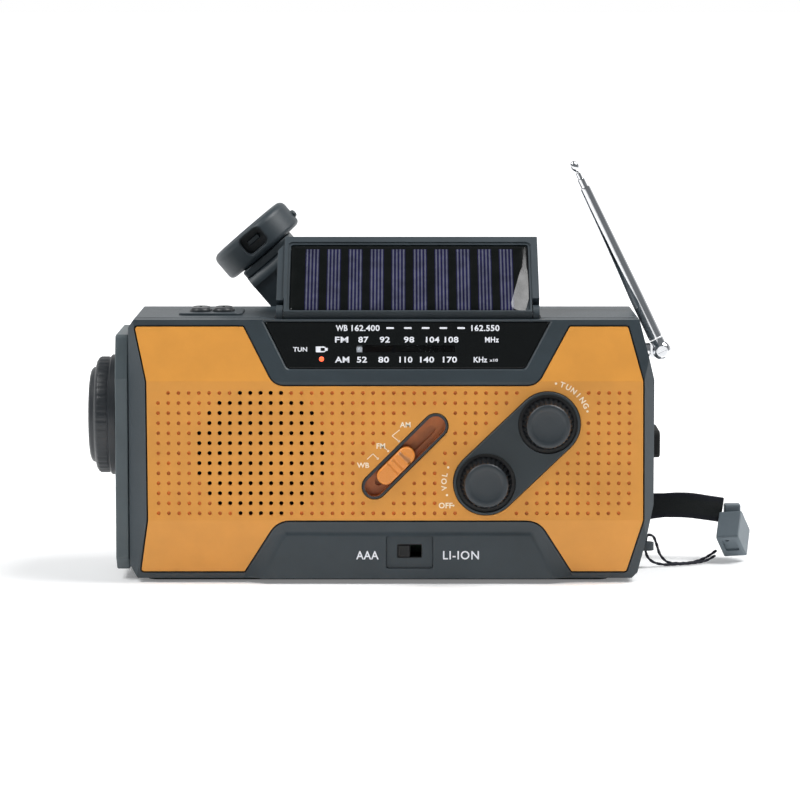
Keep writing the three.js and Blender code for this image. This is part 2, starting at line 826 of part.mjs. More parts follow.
function bandSlider() {
  const x = SLOT_X + SLIDER_REST * Math.cos(slotAngle);
  const z = SLOT_Z + SLIDER_REST * Math.sin(slotAngle);
  const thumbHalf = SLIDER_HALF - SLIDER_RADIUS;
  const thumb = capsule(x, z, thumbHalf, SLIDER_RADIUS, slotAngle, 6);
  const stem = capsule(x, z, SLIDER_STEM_HALF, SLIDER_STEM_RADIUS, slotAngle, 3);
  const floor = CASE_FRONT + SLOT_DEPTH - SLOT_FLOOR_THICK;
  return joined(
    alongY(thumb, CASE_FRONT - 2, floor - 0.4),
    alongY(stem, floor - 1, floor + 2.6),
  );
}

piece("band_slot", bandSlot(), darkPlastic());
piece("band_slider", bandSlider(), orange());
const bandBody = box(
  [-BAND_SWITCH_HALF[0], BAND_SWITCH_HALF[0]],
  [CASE_FRONT + SLOT_DEPTH + 2.4, BOARD_FRONT - GAP],
  [-BAND_SWITCH_HALF[1], BAND_SWITCH_HALF[1]],
);
piece("band_switch", bandBody.rotate([0, -45, 0]).translate([SLOT_X, 0, SLOT_Z]), steel());

// ---------------------------------------------------------------- battery source switch

const SWITCH_FRONT = CASE_FRONT + 1.1;

const SWITCH_PLATE_HALF = [8, 5];
const SWITCH_PLATE_THICK = 0.8;
const SWITCH_OPENING_HALF = [4.4, 2.4];
const SWITCH_THUMB_HALF_HEIGHT = 2;
const SWITCH_FOOT_MARGIN = 0.2; // what the thumb's foot is larger than its head

// A block centred on the source switch, given half its width and half its height.
function aroundSwitch([halfWidth, halfHeight], y) {
  return box(
    [SWITCH_X - halfWidth, SWITCH_X + halfWidth],
    y,
    [SWITCH_Z - halfHeight, SWITCH_Z + halfHeight],
  );
}

function switchWindow() {
  const plate = aroundSwitch(SWITCH_PLATE_HALF, [SWITCH_FRONT, SWITCH_FRONT + SWITCH_PLATE_THICK]);
  return plate.subtract(aroundSwitch(SWITCH_OPENING_HALF, [CASE_FRONT - 2, 0]));
}

function switchThumb() {
  const left = SWITCH_X - SWITCH_TRAVEL;
  const footHalfHeight = SWITCH_THUMB_HALF_HEIGHT + SWITCH_FOOT_MARGIN;
  return joined(
    box(
      [left, left + SWITCH_TRAVEL],
      [SWITCH_FRONT - 0.4, SWITCH_FRONT + 3],
      [SWITCH_Z - SWITCH_THUMB_HALF_HEIGHT, SWITCH_Z + SWITCH_THUMB_HALF_HEIGHT],
    ),
    box(
      [left - SWITCH_FOOT_MARGIN, left + SWITCH_TRAVEL + SWITCH_FOOT_MARGIN],
      [SWITCH_FRONT + 1, SWITCH_FRONT + 5],
      [SWITCH_Z - footHalfHeight, SWITCH_Z + footHalfHeight],
    ),
  );
}

piece("switch_window", switchWindow(), darkPlastic());
piece("source_switch", switchThumb(), charcoal());

// ---------------------------------------------------------------- board, cells and ferrite rod

const BOARD_THICK = 1.6;
const boardShape = box([-14, 84], [BOARD_FRONT, BOARD_FRONT + BOARD_THICK], [9, 69]);
piece("circuit_board", boardShape, finish(0x1f5a3a, 0.6));
const LITHIUM_RADIUS = 9.2;
piece("lithium_cell", rod([-6, 4, 16], [59, 4, 16], LITHIUM_RADIUS, 20), finish(0x2f5fae, 0.45));
AAA_HEIGHTS.forEach((height, i) => {
  const left = (DOOR.left + DOOR.right - AAA_LENGTH) / 2;
  piece(
    `aaa_cell_${i + 1}`,
    rod([left, AAA_Y, height], [left + AAA_LENGTH, AAA_Y, height], AAA_RADIUS, 14),
    finish(0xb58a3a, 0.35, 0.6),
  );
});
const FERRITE_Z = 80.5;
piece("ferrite_rod", rod([24, 2, FERRITE_Z], [82, 2, FERRITE_Z], 4, 12), finish(0x3a3633, 0.6));

function batteryDoor() {
  const plate = box([DOOR.left, DOOR.right], [CASE_REAR - DOOR_THICK, CASE_REAR], [DOOR.low, DOOR.high]);
  const thumbGrip = alongX(
    [
      [CASE_REAR - 0.8, DOOR.high - 6],
      [CASE_REAR + 1, DOOR.high - 6],
      [CASE_REAR + 1, DOOR.high - 2],
      [CASE_REAR - 0.2, DOOR.high - 2],
    ],
    (DOOR.left + DOOR.right) / 2 - 8,
    (DOOR.left + DOOR.right) / 2 + 8,
  );
  return plate.subtract(thumbGrip);
}
piece("battery_door", batteryDoor(), charcoal());

// ---------------------------------------------------------------- end cap and flashlight

function endCap() {
  const outline = [
    [-24, 8],
    [-19, 3.4],
    [22, 3.4],
    [27, 8],
    [27, END_CAP_TOP - 5],
    [22, END_CAP_TOP],
    [-19.6, END_CAP_TOP],
    [-24, UPPER_FOLD],
  ];
  const right = CASE_LEFT - GAP;
  const slab = alongX(outline, CAP_LEFT, right);
  const window = rod([CAP_LEFT - 1, 0, LAMP_Z], [right + 1, 0, LAMP_Z], CAP_WINDOW_RADIUS, 24);
  return slab.subtract(window);
}

// Profiles from the case outwards become solids turned about X, growing towards -X.
function lampPart(profile, sides, left) {
  return turned(profile, sides).rotateZ(Math.PI / 2).translate(left, 0, LAMP_Z);
}

const bezelDepth = CAP_LEFT - GAP - LAMP_NOSE;
const ringDepth = CAP_LEFT - GAP - LAMP_LEFT;
const bezelProfile = [
  [LAMP_BORE_RADIUS, 0],
  [LAMP_RADIUS, 0],
  [LAMP_RADIUS, ringDepth],
  [LAMP_RADIUS - 1.6, ringDepth + 0.6],
  [LAMP_RIM_RADIUS, bezelDepth],
  [LAMP_RIM_RADIUS - 2.6, bezelDepth],
  [LAMP_RIM_RADIUS - 2.6, bezelDepth - 1.6],
  [LAMP_BORE_RADIUS, bezelDepth - 3.4],
  [LAMP_BORE_RADIUS, 0],
];
const reflectorProfile = [
  [3, -12],
  [13.4, -1],
  [16.4, 0.5],
  [16.4, 5],
  [15.4, 5],
  [14, 1],
  [6, -6],
  [3, -10.5],
  [3, -12],
];
const ledProfile = [
  [0, -13.5],
  [9, -13.5],
  [9, -12.4],
  [2.6, -12.4],
  [2.6, -9],
  [1.6, -7.6],
  [0, -7.2],
];
const lensProfile = [
  [0, LENS_BACK],
  [LENS_RADIUS, LENS_BACK],
  [LENS_RADIUS, LENS_BACK + 1],
  [13.6, 7],
  [13.6, 8.4],
  [8, 9.6],
  [0, 10],
];

piece("end_cap", endCap(), charcoal());
piece("flashlight_bezel", lampPart(bezelProfile, 32, CAP_LEFT - GAP), darkPlastic());
piece("flashlight_reflector", lampPart(reflectorProfile, 24, CAP_LEFT - GAP), chrome());
piece("flashlight_led", lampPart(ledProfile, 16, CAP_LEFT - GAP), finish(0xf4e9a8, 0.3));
piece("flashlight_lens", lampPart(lensProfile, 24, CAP_LEFT - GAP), finish(0xe4ecf0, 0.05));

// ---------------------------------------------------------------- top buttons

function buttonPad() {
  const pad = alongZ(
    roundedBox([BUTTON_PAD.left, BUTTON_PAD.right], [BUTTON_PAD.front, BUTTON_PAD.rear], PAD_CORNER),
    CASE_TOP + 0.05,
    CASE_TOP + BUTTON_PAD.proud,
  );
  const holes = BUTTON_X.map((x) =>
    alongZ(capsuleAlongY(x, BUTTON_Y, BUTTON_HALF_LENGTH, BUTTON_RADIUS + GAP), CASE_TOP - 1, CASE_TOP + 3),
  );
  return cut(pad, ...holes);
}

function topButton(x) {
  const low = CASE_TOP - BUTTON_TRAVEL_ROOM;
  return joined(
    alongZ(
      capsuleAlongY(x, BUTTON_Y, BUTTON_HALF_LENGTH, BUTTON_RADIUS),
      low,
      CASE_TOP + BUTTON_PROUD - 0.6,
    ),
    alongZ(
      capsuleAlongY(x, BUTTON_Y, BUTTON_HALF_LENGTH, BUTTON_RADIUS - 0.8),
      low,
      CASE_TOP + BUTTON_PROUD,
    ),
  );
}

piece("button_pad", buttonPad(), charcoal());
piece("light_button", topButton(BUTTON_X[0]), darkPlastic());
piece("sos_button", topButton(BUTTON_X[1]), darkPlastic());

// ---------------------------------------------------------------- solar lid

const lid = new THREE.Group();
lid.position.set(CENTRE_X, HINGE_Y, HINGE_Z);
lid.rotation.x = LID_TILT;
radio.add(lid);

const cellsX = [-LID_HALF_WIDTH + LID_BORDER, LID_HALF_WIDTH - LID_BORDER];
const cellsY = [1.5, LID_LENGTH - LID_BORDER];
const CELL_RECESS = 1.6;

function lidFrame() {
  const barrel = rod([-LID_HALF_WIDTH, 0, 0], [LID_HALF_WIDTH, 0, 0], LID_HALF_THICK, 20);
  const slab = box(
    [-LID_HALF_WIDTH, LID_HALF_WIDTH],
    [0, LID_LENGTH],
    [-LID_HALF_THICK, LID_HALF_THICK],
  );
  const bore = rod([-FAR, 0, 0], [FAR, 0, 0], HINGE_PIN_RADIUS + GAP, 12);
  const recess = box(cellsX, cellsY, [LID_HALF_THICK - CELL_RECESS, LID_HALF_THICK + 1]);
  const notches = [-1, 1].map((side) => {
    const edges = [side * (HINGE_LUG_INNER - GAP), side * (LID_HALF_WIDTH + 1)];
    return box(
      [Math.min(...edges), Math.max(...edges)],
      [-LID_HALF_THICK - 1, HINGE_NOTCH_END],
      [-LID_HALF_THICK - 1, LID_HALF_THICK + 1],
    );
  });
  return cut(joined(barrel, slab), bore, recess, ...notches);
}

piece("solar_frame", lidFrame(), charcoal(), lid);
piece(
  "solar_cells",
  box(
    [cellsX[0] + GAP, cellsX[1] - GAP],
    [cellsY[0] + GAP, cellsY[1] - GAP],
    [LID_HALF_THICK - CELL_RECESS + GAP, LID_HALF_THICK - 0.2],
  ),
  finish(0x14182a, 0.1),
  lid,
);
const pinHalf = HINGE_LUG_INNER + HINGE_LUG;
piece("solar_hinge_pin", rod([-pinHalf, 0, 0], [pinHalf, 0, 0], HINGE_PIN_RADIUS, 12), steel(), lid);

// ---------------------------------------------------------------- hand crank

// In the crank's own frame X runs out along the arm and Y is the radio's.
const crank = new THREE.Group();
crank.position.set(CRANK_X, 0, CRANK_Z);
crank.rotation.y = -Math.atan2(CRANK_DIRECTION.y, CRANK_DIRECTION.x);
radio.add(crank);

const foldY = (ARM_FRONT + ARM_REAR) / 2;
const stemLeft = FOLD_RADIUS + STEM_OFFSET;
const knobLeft = stemLeft + STEM_PLATE + GAP;

function crankArm() {
  const outline = [
    ...circle(0, 0, ARM_HALF_WIDTH, 24).filter(([x]) => x <= 0.01),
    [FOLD_RADIUS, -ARM_HALF_WIDTH],
    [FOLD_RADIUS, ARM_HALF_WIDTH],
  ];
  const plate = alongY(outline, ARM_FRONT, ARM_REAR);
  const roundEnd = rod(
    [FOLD_RADIUS, foldY, -ARM_HALF_WIDTH],
    [FOLD_RADIUS, foldY, ARM_HALF_WIDTH],
    EAR_RADIUS,
    24,
  );
  const notch = box(
    [FOLD_RADIUS - NOTCH_DEPTH, FOLD_RADIUS + EAR_RADIUS + 1],
    [ARM_FRONT - 1, ARM_REAR + 1],
    [-EAR_INNER, EAR_INNER],
  );
  const pinHole = rod(
    [FOLD_RADIUS, foldY, -ARM_HALF_WIDTH - 1],
    [FOLD_RADIUS, foldY, ARM_HALF_WIDTH + 1],
    FOLD_PIN_RADIUS + GAP,
    12,
  );
  const shaftHole = rod([0, ARM_FRONT - 1, 0], [0, ARM_REAR - SHAFT_HOLE_FLOOR, 0], SHAFT_RADIUS + GAP, 16);
  return cut(joined(plate, roundEnd), notch, pinHole, shaftHole);
}

function crankStem() {
  const barrelHalf = EAR_INNER - GAP;
  const barrel = rod(
    [FOLD_RADIUS, foldY, -barrelHalf],
    [FOLD_RADIUS, foldY, barrelHalf],
    EAR_REACH - 0.1,
    16,
  );
  const neckOutline = [
    [FOLD_RADIUS, foldY - NECK_HALF],
    [FOLD_RADIUS + 3.4, foldY - 3],
    [stemLeft + STEM_PLATE, foldY + 1],
    [stemLeft + STEM_PLATE, ARM_REAR + 3],
    [stemLeft, ARM_REAR + 3],
    [stemLeft, foldY + 3.9],
    [stemLeft - 1.2, foldY + NECK_HALF],
    [FOLD_RADIUS, foldY + NECK_HALF],
  ];
  const neck = alongZ(neckOutline, -barrelHalf, barrelHalf);
  const flange = alongX(
    roundedBox(
      [ARM_FRONT + 0.6, CRANK_KNOB_Y + FLANGE_BEYOND],
      [-ARM_HALF_WIDTH, ARM_HALF_WIDTH],
      FLANGE_CORNER,
    ),
    stemLeft,
    stemLeft + STEM_PLATE,
  );
  const spindle = rod(
    [stemLeft + 1, CRANK_KNOB_Y, 0],
    [knobLeft + CRANK_KNOB_THICK - 4, CRANK_KNOB_Y, 0],
    SPINDLE_RADIUS,
    12,
  );
  const bore = rod([FOLD_RADIUS, foldY, -20], [FOLD_RADIUS, foldY, 20], FOLD_PIN_RADIUS + GAP, 12);
  return cut(joined(barrel, neck, flange, spindle), bore);
}

function crankKnob() {
  const bore = SPINDLE_RADIUS + GAP;
  const profile = [
    [bore, 0],
    [CRANK_KNOB_RADIUS - KNOB_EDGE, 0],
    [CRANK_KNOB_RADIUS, KNOB_EDGE],
    [CRANK_KNOB_RADIUS, CRANK_KNOB_THICK - KNOB_DOME],
    [CRANK_KNOB_RADIUS - 1, CRANK_KNOB_THICK - 1],
    [CRANK_KNOB_RADIUS - KNOB_DOME, CRANK_KNOB_THICK],
    [0, CRANK_KNOB_THICK],
    [0, CRANK_KNOB_THICK - KNOB_CAP_THICK],
    [bore, CRANK_KNOB_THICK - KNOB_CAP_THICK],
    [bore, 0],
  ];
  const disc = solid(
    turned(profile, 32).rotateZ(-Math.PI / 2).translate(knobLeft, CRANK_KNOB_Y, 0),
  );
  const middle = knobLeft + CRANK_KNOB_THICK / 2 + GRIP_HOLE_SHIFT;
  const grip = box(
    [middle - GRIP_HOLE_HALF, middle + GRIP_HOLE_HALF],
    [CRANK_KNOB_Y - CRANK_KNOB_RADIUS - 1, CRANK_KNOB_Y - GRIP_HOLE_END],
    [-GRIP_HOLE_HALF_HEIGHT, GRIP_HOLE_HALF_HEIGHT],
  );
  return disc.subtract(grip);
}

piece("crank_arm", crankArm(), charcoal(), crank);
piece("crank_stem", crankStem(), charcoal(), crank);
piece("crank_knob", crankKnob(), charcoal(), crank);
piece(
  "crank_fold_pin",
  rod(
    [FOLD_RADIUS, foldY, -ARM_HALF_WIDTH + PIN_END_INSET],
    [FOLD_RADIUS, foldY, ARM_HALF_WIDTH - PIN_END_INSET],
    FOLD_PIN_RADIUS,
    12,
  ),
  steel(),
  crank,
);
piece(
  "crank_shaft",
  rod([0, DRIVE_LAYER[0] - 1, 0], [0, ARM_REAR - SHAFT_HOLE_FLOOR - GAP, 0], SHAFT_RADIUS, 16),
  steel(),
  crank,
);

// ---------------------------------------------------------------- gears and generator

// A toothed outline about a centre; one tooth points along the angle.
function gearOutline([x, z], teeth, angle) {
  const pitchRadius = (MODULE_MM * teeth) / 2;
  const root = pitchRadius - TOOTH_ROOT * MODULE_MM;
  const tip = pitchRadius + TOOTH_TIP * MODULE_MM;
  const step = (2 * Math.PI) / teeth;
  const corners = [
    [root, -ROOT_SHARE],
    [tip, -TIP_SHARE],
    [tip, TIP_SHARE],
    [root, ROOT_SHARE],
  ];
  return Array.from({ length: teeth }, (_, tooth) =>
    corners.map(([radius, share]) => {
      const turn = angle + step * (tooth + share);
      return [x + radius * Math.cos(turn), z + radius * Math.sin(turn)];
    }),
  ).flat();
}

const driveCentre = [CRANK_X, CRANK_Z];
const idlerReach = (MODULE_MM * (DRIVE_TEETH + IDLER_PINION_TEETH)) / 2;
const idlerCentre = [
  CRANK_X + idlerReach * Math.cos(IDLER_ANGLE),
  CRANK_Z + idlerReach * Math.sin(IDLER_ANGLE),
];
const generatorReach = (MODULE_MM * (IDLER_WHEEL_TEETH + GENERATOR_TEETH)) / 2;
const generatorCentre = [
  idlerCentre[0] + generatorReach * Math.cos(GENERATOR_ANGLE),
  idlerCentre[1] + generatorReach * Math.sin(GENERATOR_ANGLE),
];
const gapTowards = (angle, teeth) => angle + Math.PI + Math.PI / teeth;

function axle([x, z], from, to, radius, sides = 12) {
  return rod([x, from, z], [x, to, z], radius, sides);
}

function idlerGear() {
  const pinion = gearOutline(idlerCentre, IDLER_PINION_TEETH, gapTowards(IDLER_ANGLE, IDLER_PINION_TEETH));
  const wheel = gearOutline(idlerCentre, IDLER_WHEEL_TEETH, GENERATOR_ANGLE);
  return joined(
    alongY(wheel, ...WHEEL_LAYER),
    alongY(pinion, WHEEL_LAYER[1] - 0.5, DRIVE_LAYER[1] + 0.2),
    axle(idlerCentre, WHEEL_LAYER[0] - 1, BRACKET_LAYER[1] - GAP, IDLER_SHAFT_RADIUS),
  );
}

function generatorPinion() {
  const pinion = gearOutline(
    generatorCentre,
    GENERATOR_TEETH,
    gapTowards(GENERATOR_ANGLE, GENERATOR_TEETH),
  );
  return joined(
    alongY(pinion, WHEEL_LAYER[0] - 0.4, WHEEL_LAYER[1] + 0.4),
    axle(generatorCentre, GENERATOR_LAYER[1] + 0.4, WHEEL_LAYER[1], GENERATOR_SHAFT_RADIUS),
  );
}

function gearBracket() {
  const plate = box(BRACKET_X, BRACKET_LAYER, BRACKET_Z);
  return cut(
    plate,
    axle(driveCentre, ...THROUGH_GEARS, SHAFT_RADIUS + GAP, 16),
    axle(idlerCentre, ...THROUGH_GEARS, IDLER_SHAFT_RADIUS + GAP),
  );
}

piece(
  "drive_gear",
  cut(
    alongY(gearOutline(driveCentre, DRIVE_TEETH, IDLER_ANGLE), ...DRIVE_LAYER),
    axle(driveCentre, ...THROUGH_GEARS, SHAFT_RADIUS + GAP, 16),
  ),
  whiteNylon(),
);
piece("idler_gear", idlerGear(), whiteNylon());
piece("generator_pinion", generatorPinion(), steel());
piece("gear_bracket", gearBracket(), steel());
piece("generator", axle(generatorCentre, ...GENERATOR_LAYER, GENERATOR_RADIUS, 24), steel());

// ---------------------------------------------------------------- antenna

function antennaBase() {
  const inner = CASE_RIGHT - CASE_WALL - 6;
  const barrel = rod(
    [inner, ANTENNA_Y, KNUCKLE_Z],
    [KNUCKLE_X - BARREL_BEFORE_KNUCKLE, ANTENNA_Y, KNUCKLE_Z],
    ANTENNA_BARREL_RADIUS,
    16,
  );
  const tongue = box(
    [KNUCKLE_X - BARREL_BEFORE_KNUCKLE - 0.6, KNUCKLE_X],
    [ANTENNA_Y - TONGUE_HALF_THICK, ANTENNA_Y + TONGUE_HALF_THICK],
    [KNUCKLE_Z - TONGUE_RADIUS, KNUCKLE_Z + TONGUE_RADIUS],
  );
  const nose = rod(
    [KNUCKLE_X, ANTENNA_Y - TONGUE_HALF_THICK, KNUCKLE_Z],
    [KNUCKLE_X, ANTENNA_Y + TONGUE_HALF_THICK, KNUCKLE_Z],
    TONGUE_RADIUS,
  );
  return joined(barrel, tongue, nose);
}

const antenna = new THREE.Group();
antenna.position.set(KNUCKLE_X, ANTENNA_Y, KNUCKLE_Z);
antenna.rotation.y = -ANTENNA_LEAN;
radio.add(antenna);

// A fork that straddles the base's tongue; its screw crosses in front and behind.
function antennaKnuckle() {
  const ball = new THREE.SphereGeometry(BALL_RADIUS, 16, 12);
  const neck = rod([0, 0, 0], [0, 0, TUBE_STARTS[0] - GAP], MAST_NECK_RADIUS, 16);
  const slotY = [-TONGUE_HALF_THICK - GAP, TONGUE_HALF_THICK + GAP];
  const slot = box([-6, 6], slotY, [-6, 2.9]);
  const throat = box([-6, 0.4], slotY, [-6, 4.2]);
  return cut(joined(solid(ball), neck), slot, throat);
}

// The outer tube is straight near the knuckle and narrows from there to its end.
function taperedTube() {
  const profile = [
    [0, TUBE_STARTS[0]],
    [TUBE_RADII[0], TUBE_STARTS[0]],
    [TUBE_RADII[0], TAPER_START],
    [TAPER_END_RADIUS, TUBE_ENDS[0]],
    [0, TUBE_ENDS[0]],
  ];
  return solid(turned(profile, 12).rotateX(Math.PI / 2));
}

function antennaSection(i) {
  const start = [0, 0, TUBE_STARTS[i]];
  const end = [0, 0, TUBE_ENDS[i]];
  const tube = i === 0 ? taperedTube() : rod(start, end, TUBE_RADII[i], 12);
  if (i === TUBE_RADII.length - 1) {
    const cap = rod([0, 0, TUBE_ENDS[i] - 1], [0, 0, TIP_END], TIP_RADIUS, 12);
    return joined(tube, cap);
  }
  return tube.subtract(rod([0, 0, TUBE_STARTS[i] + 2], [0, 0, FAR], TUBE_BORES[i], 12));
}

piece("antenna_base", antennaBase(), chrome());
piece("antenna_knuckle", antennaKnuckle(), chrome(), antenna);
TUBE_RADII.forEach((_, i) => {
  piece(`antenna_section_${i + 1}`, antennaSection(i), chrome(), antenna);
});

// ---------------------------------------------------------------- port cover and socket

const COVER_RIGHT = CASE_RIGHT + 3.2;
const PORT_HALF_WIDTH = 5.4;
const PLUG_HALF_HEIGHT = 3.4;
const FLAP_Y = [-14, 9];
const FLAP_HALF_HEIGHT = 4.9;
const FLAP_CORNER = 2;
const PLUG_DEPTH = 1.6;
const SOCKET_FRONT = 3.2; // behind the case's right face
const SOCKET_BACK = 12;
const MOUTH_HALF = [4.4, 1.6];

function portCover() {
  const flap = alongX(
    roundedBox(FLAP_Y, [PORT_Z - FLAP_HALF_HEIGHT, PORT_Z + FLAP_HALF_HEIGHT], FLAP_CORNER),
    CASE_RIGHT + GAP,
    COVER_RIGHT,
  );
  const plug = box(
    [CASE_RIGHT - PLUG_DEPTH, CASE_RIGHT + 1],
    [-PORT_HALF_WIDTH, PORT_HALF_WIDTH],
    [PORT_Z - PLUG_HALF_HEIGHT, PORT_Z + PLUG_HALF_HEIGHT],
  );
  return joined(flap, plug);
}

function portSocket() {
  const block = box(
    [CASE_RIGHT - SOCKET_BACK, CASE_RIGHT - SOCKET_FRONT],
    [-PORT_HALF_WIDTH, PORT_HALF_WIDTH],
    [PORT_Z - PLUG_HALF_HEIGHT, PORT_Z + PLUG_HALF_HEIGHT],
  );
  const mouth = box(
    [CASE_RIGHT - SOCKET_BACK + 3, CASE_RIGHT],
    [-MOUTH_HALF[0], MOUTH_HALF[0]],
    [PORT_Z - MOUTH_HALF[1], PORT_Z + MOUTH_HALF[1]],
  );
  return block.subtract(mouth);
}

piece("port_cover", portCover(), rubber());
piece("port_socket", portSocket(), steel());

// ---------------------------------------------------------------- wrist strap

const LUG_X = 89.9;
const LUG_Y = 6;
const LUG_Z = 8;
const LUG_HALF_THICK = 1.4;
const LUG_RADIUS = 3;
const LUG_EYE_RADIUS = 1.6;
const LUG_REACH = 3.2;

function strapLug() {
  const middle = LUG_X + LUG_REACH;
  const lugZ = [LUG_Z - LUG_HALF_THICK, LUG_Z + LUG_HALF_THICK];
  const outer = rod([middle, LUG_Y, lugZ[0]], [middle, LUG_Y, lugZ[1]], LUG_RADIUS, 16);
  const foot = box([LUG_X, middle], [LUG_Y - LUG_RADIUS, LUG_Y + LUG_RADIUS], lugZ);
  const eye = rod([middle, LUG_Y, LUG_Z - 3], [middle, LUG_Y, LUG_Z + 3], LUG_EYE_RADIUS, 12);
  return cut(joined(outer, foot), eye);
}

// The hand loop: out of the lock, down to the ground behind the case and round again.
const webbingRoute = [
  [122.9, 26.3, 18.4],
  [117, 26.7, 19.2],
  [110, 28.4, 19.8],
  [103, 31, 19.6],
  [96, 34.2, 19],
  [88, 37.6, 17],
  [79, 40.4, 13.4],
  [69, 42.4, 9],
  [58, 43.8, 6],
  [46, 44.4, 4.9],
  [33, 44.2, 4.8],
  [20, 45, 4.8],
  [8, 50, 4.8],
  [1, 60, 4.8],
  [1.4, 73, 4.8],
  [10, 83, 4.8],
  [23, 86.4, 4.8],
  [37, 84, 4.8],
  [51, 76.6, 4.9],
  [64, 67, 6],
  [75, 58, 9],
  [85, 49.8, 13.2],
  [95, 42, 17],
  [104, 35.2, 19.2],
  [111, 31, 19.8],
  [117, 28.8, 19.2],
  [122.9, 28.1, 18.4],
];
// The thin cord: from the lock over the lug, down through its eye and back to the lock.
const cordRoute = [
  [120.2, 19.6, 4.2],
  [116.4, 17, 2.2],
  [111.4, 13.8, 0.9],
  [106, 11.2, 0.8],
  [101.4, 9.4, 1.6],
  [98.6, 8, 4.6],
  [97.2, 7, 8.6],
  [95.8, 6.4, 11.6],
  [94, 6.1, 12],
  [93.1, 6, 9.8],
  [93.1, 6, 6.6],
  [93.9, 6.1, 4],
  [96, 6.6, 2],
  [100, 7.4, 0.9],
  [105.4, 9, 0.8],
  [110.8, 11.6, 0.8],
  [116, 15, 1.2],
  [119.6, 17.6, 2.6],
];

// A strand that keeps its section upright along a route.
function strand(route, section, stepLength) {
  const curve = new THREE.CatmullRomCurve3(
    route.map((point) => new THREE.Vector3(...point)),
    false,
    "centripetal",
  );
  const steps = Math.round(curve.getLength() / stepLength);
  const rings = [];
  const up = new THREE.Vector3(0, 0, 1);
  for (let i = 0; i <= steps; i++) {
    const middle = curve.getPointAt(i / steps);
    const ahead = curve.getTangentAt(i / steps);
    const across = new THREE.Vector3().crossVectors(ahead, up).normalize();
    const over = new THREE.Vector3().crossVectors(across, ahead);
    rings.push(
      section.map(([side, height]) =>
        middle.clone().addScaledVector(across, side).addScaledVector(over, height),
      ),
    );
  }
  const positions = [];
  const sides = section.length;
  const triangle = (...corners) => corners.forEach((corner) => positions.push(...corner.toArray()));
  for (let i = 0; i < steps; i++) {
    for (let k = 0; k < sides; k++) {
      const next = (k + 1) % sides;
      triangle(rings[i][k], rings[i + 1][next], rings[i][next]);
      triangle(rings[i][k], rings[i + 1][k], rings[i + 1][next]);
    }
  }
  for (let k = 1; k < sides - 1; k++) {
    triangle(rings[0][0], rings[0][k], rings[0][k + 1]);
    triangle(rings[steps][0], rings[steps][k + 1], rings[steps][k]);
  }
  const geometry = new THREE.BufferGeometry();
  geometry.setAttribute("position", new THREE.Float32BufferAttribute(positions, 3));
  return geometry;
}

const webSection = [
  [STRAP_THICK / 2, -STRAP_WIDTH / 2 + 0.4],
  [STRAP_THICK / 2, STRAP_WIDTH / 2 - 0.4],
  [0, STRAP_WIDTH / 2],
  [-STRAP_THICK / 2, STRAP_WIDTH / 2 - 0.4],
  [-STRAP_THICK / 2, -STRAP_WIDTH / 2 + 0.4],
  [0, -STRAP_WIDTH / 2],
];

// The lock leans back on its lower edge; the webbing ends in a tab behind its top.
function strapLock() {
  const block = alongX(
    roundedBox([-LOCK_DEPTH / 2, LOCK_DEPTH / 2], [-LOCK_HEIGHT / 2, LOCK_HEIGHT / 2], 0.8, 2),
    -LOCK_WIDTH / 2,
    LOCK_WIDTH / 2,
  );
  const bore = rod([-20, -LOCK_DEPTH / 4, -LOCK_HEIGHT / 2], [-LOCK_WIDTH / 4, 0, 0], 1.2, 8);
  const tab = box([123.6, 129.6], [24.6, 29.6], [12, 20.8]);
  return cut(block, bore)
    .rotate([-42, 0, 0])
    .rotate([0, -6, 0])
    .rotate([0, 0, -20])
    .translate([126.6, 22, 10.2])
    .add(tab);
}

piece("strap_lug", strapLug(), charcoal());
piece("strap_webbing", strand(webbingRoute, webSection, 7), rubber());
piece("strap_cord", strand(cordRoute, circle(0, 0, STRAP_CORD_RADIUS, 8), 1.9), rubber());
piece("strap_lock", strapLock(), charcoal());

export default radio;
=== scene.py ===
import math

import bmesh
import bpy
from mathutils import Matrix, Vector


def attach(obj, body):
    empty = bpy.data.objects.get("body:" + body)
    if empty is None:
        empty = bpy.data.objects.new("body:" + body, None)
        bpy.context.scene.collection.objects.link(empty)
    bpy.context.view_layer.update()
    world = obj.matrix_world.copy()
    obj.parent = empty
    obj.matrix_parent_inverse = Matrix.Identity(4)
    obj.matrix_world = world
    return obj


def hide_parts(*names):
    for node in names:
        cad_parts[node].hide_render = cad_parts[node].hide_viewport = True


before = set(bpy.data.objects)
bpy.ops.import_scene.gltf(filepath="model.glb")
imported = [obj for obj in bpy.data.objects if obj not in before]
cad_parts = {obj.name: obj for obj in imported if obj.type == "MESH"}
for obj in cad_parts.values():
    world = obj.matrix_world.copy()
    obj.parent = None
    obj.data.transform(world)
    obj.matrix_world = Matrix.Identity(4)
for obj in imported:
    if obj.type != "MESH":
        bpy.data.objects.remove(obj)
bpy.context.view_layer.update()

# Shapes are made in millimetres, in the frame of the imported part, and scaled once to metres.
MM = 0.001
FAR = 130.0
scene = bpy.context.scene


# ---------------------------------------------------------------- camera

CAMERA_PITCH = 6.2  # degrees below the horizon
CAMERA_PLACE = (0.0032, -1.3254, 0.2064)
CAMERA_SENSOR = 36
CAMERA_LENS = 165.24
camera_data = bpy.data.cameras.new("camera")
camera_data.sensor_width = CAMERA_SENSOR
camera_data.lens = CAMERA_LENS
camera = bpy.data.objects.new("camera", camera_data)
camera.location = CAMERA_PLACE
camera.rotation_euler = (math.radians(90 - CAMERA_PITCH), 0, 0)
scene.collection.objects.link(camera)
scene.camera = camera
scene.view_settings.view_transform = "Standard"


# ---------------------------------------------------------------- shape helpers

def add_object(mesh):
    made = bpy.data.objects.new(mesh.name, mesh)
    scene.collection.objects.link(made)
    return made


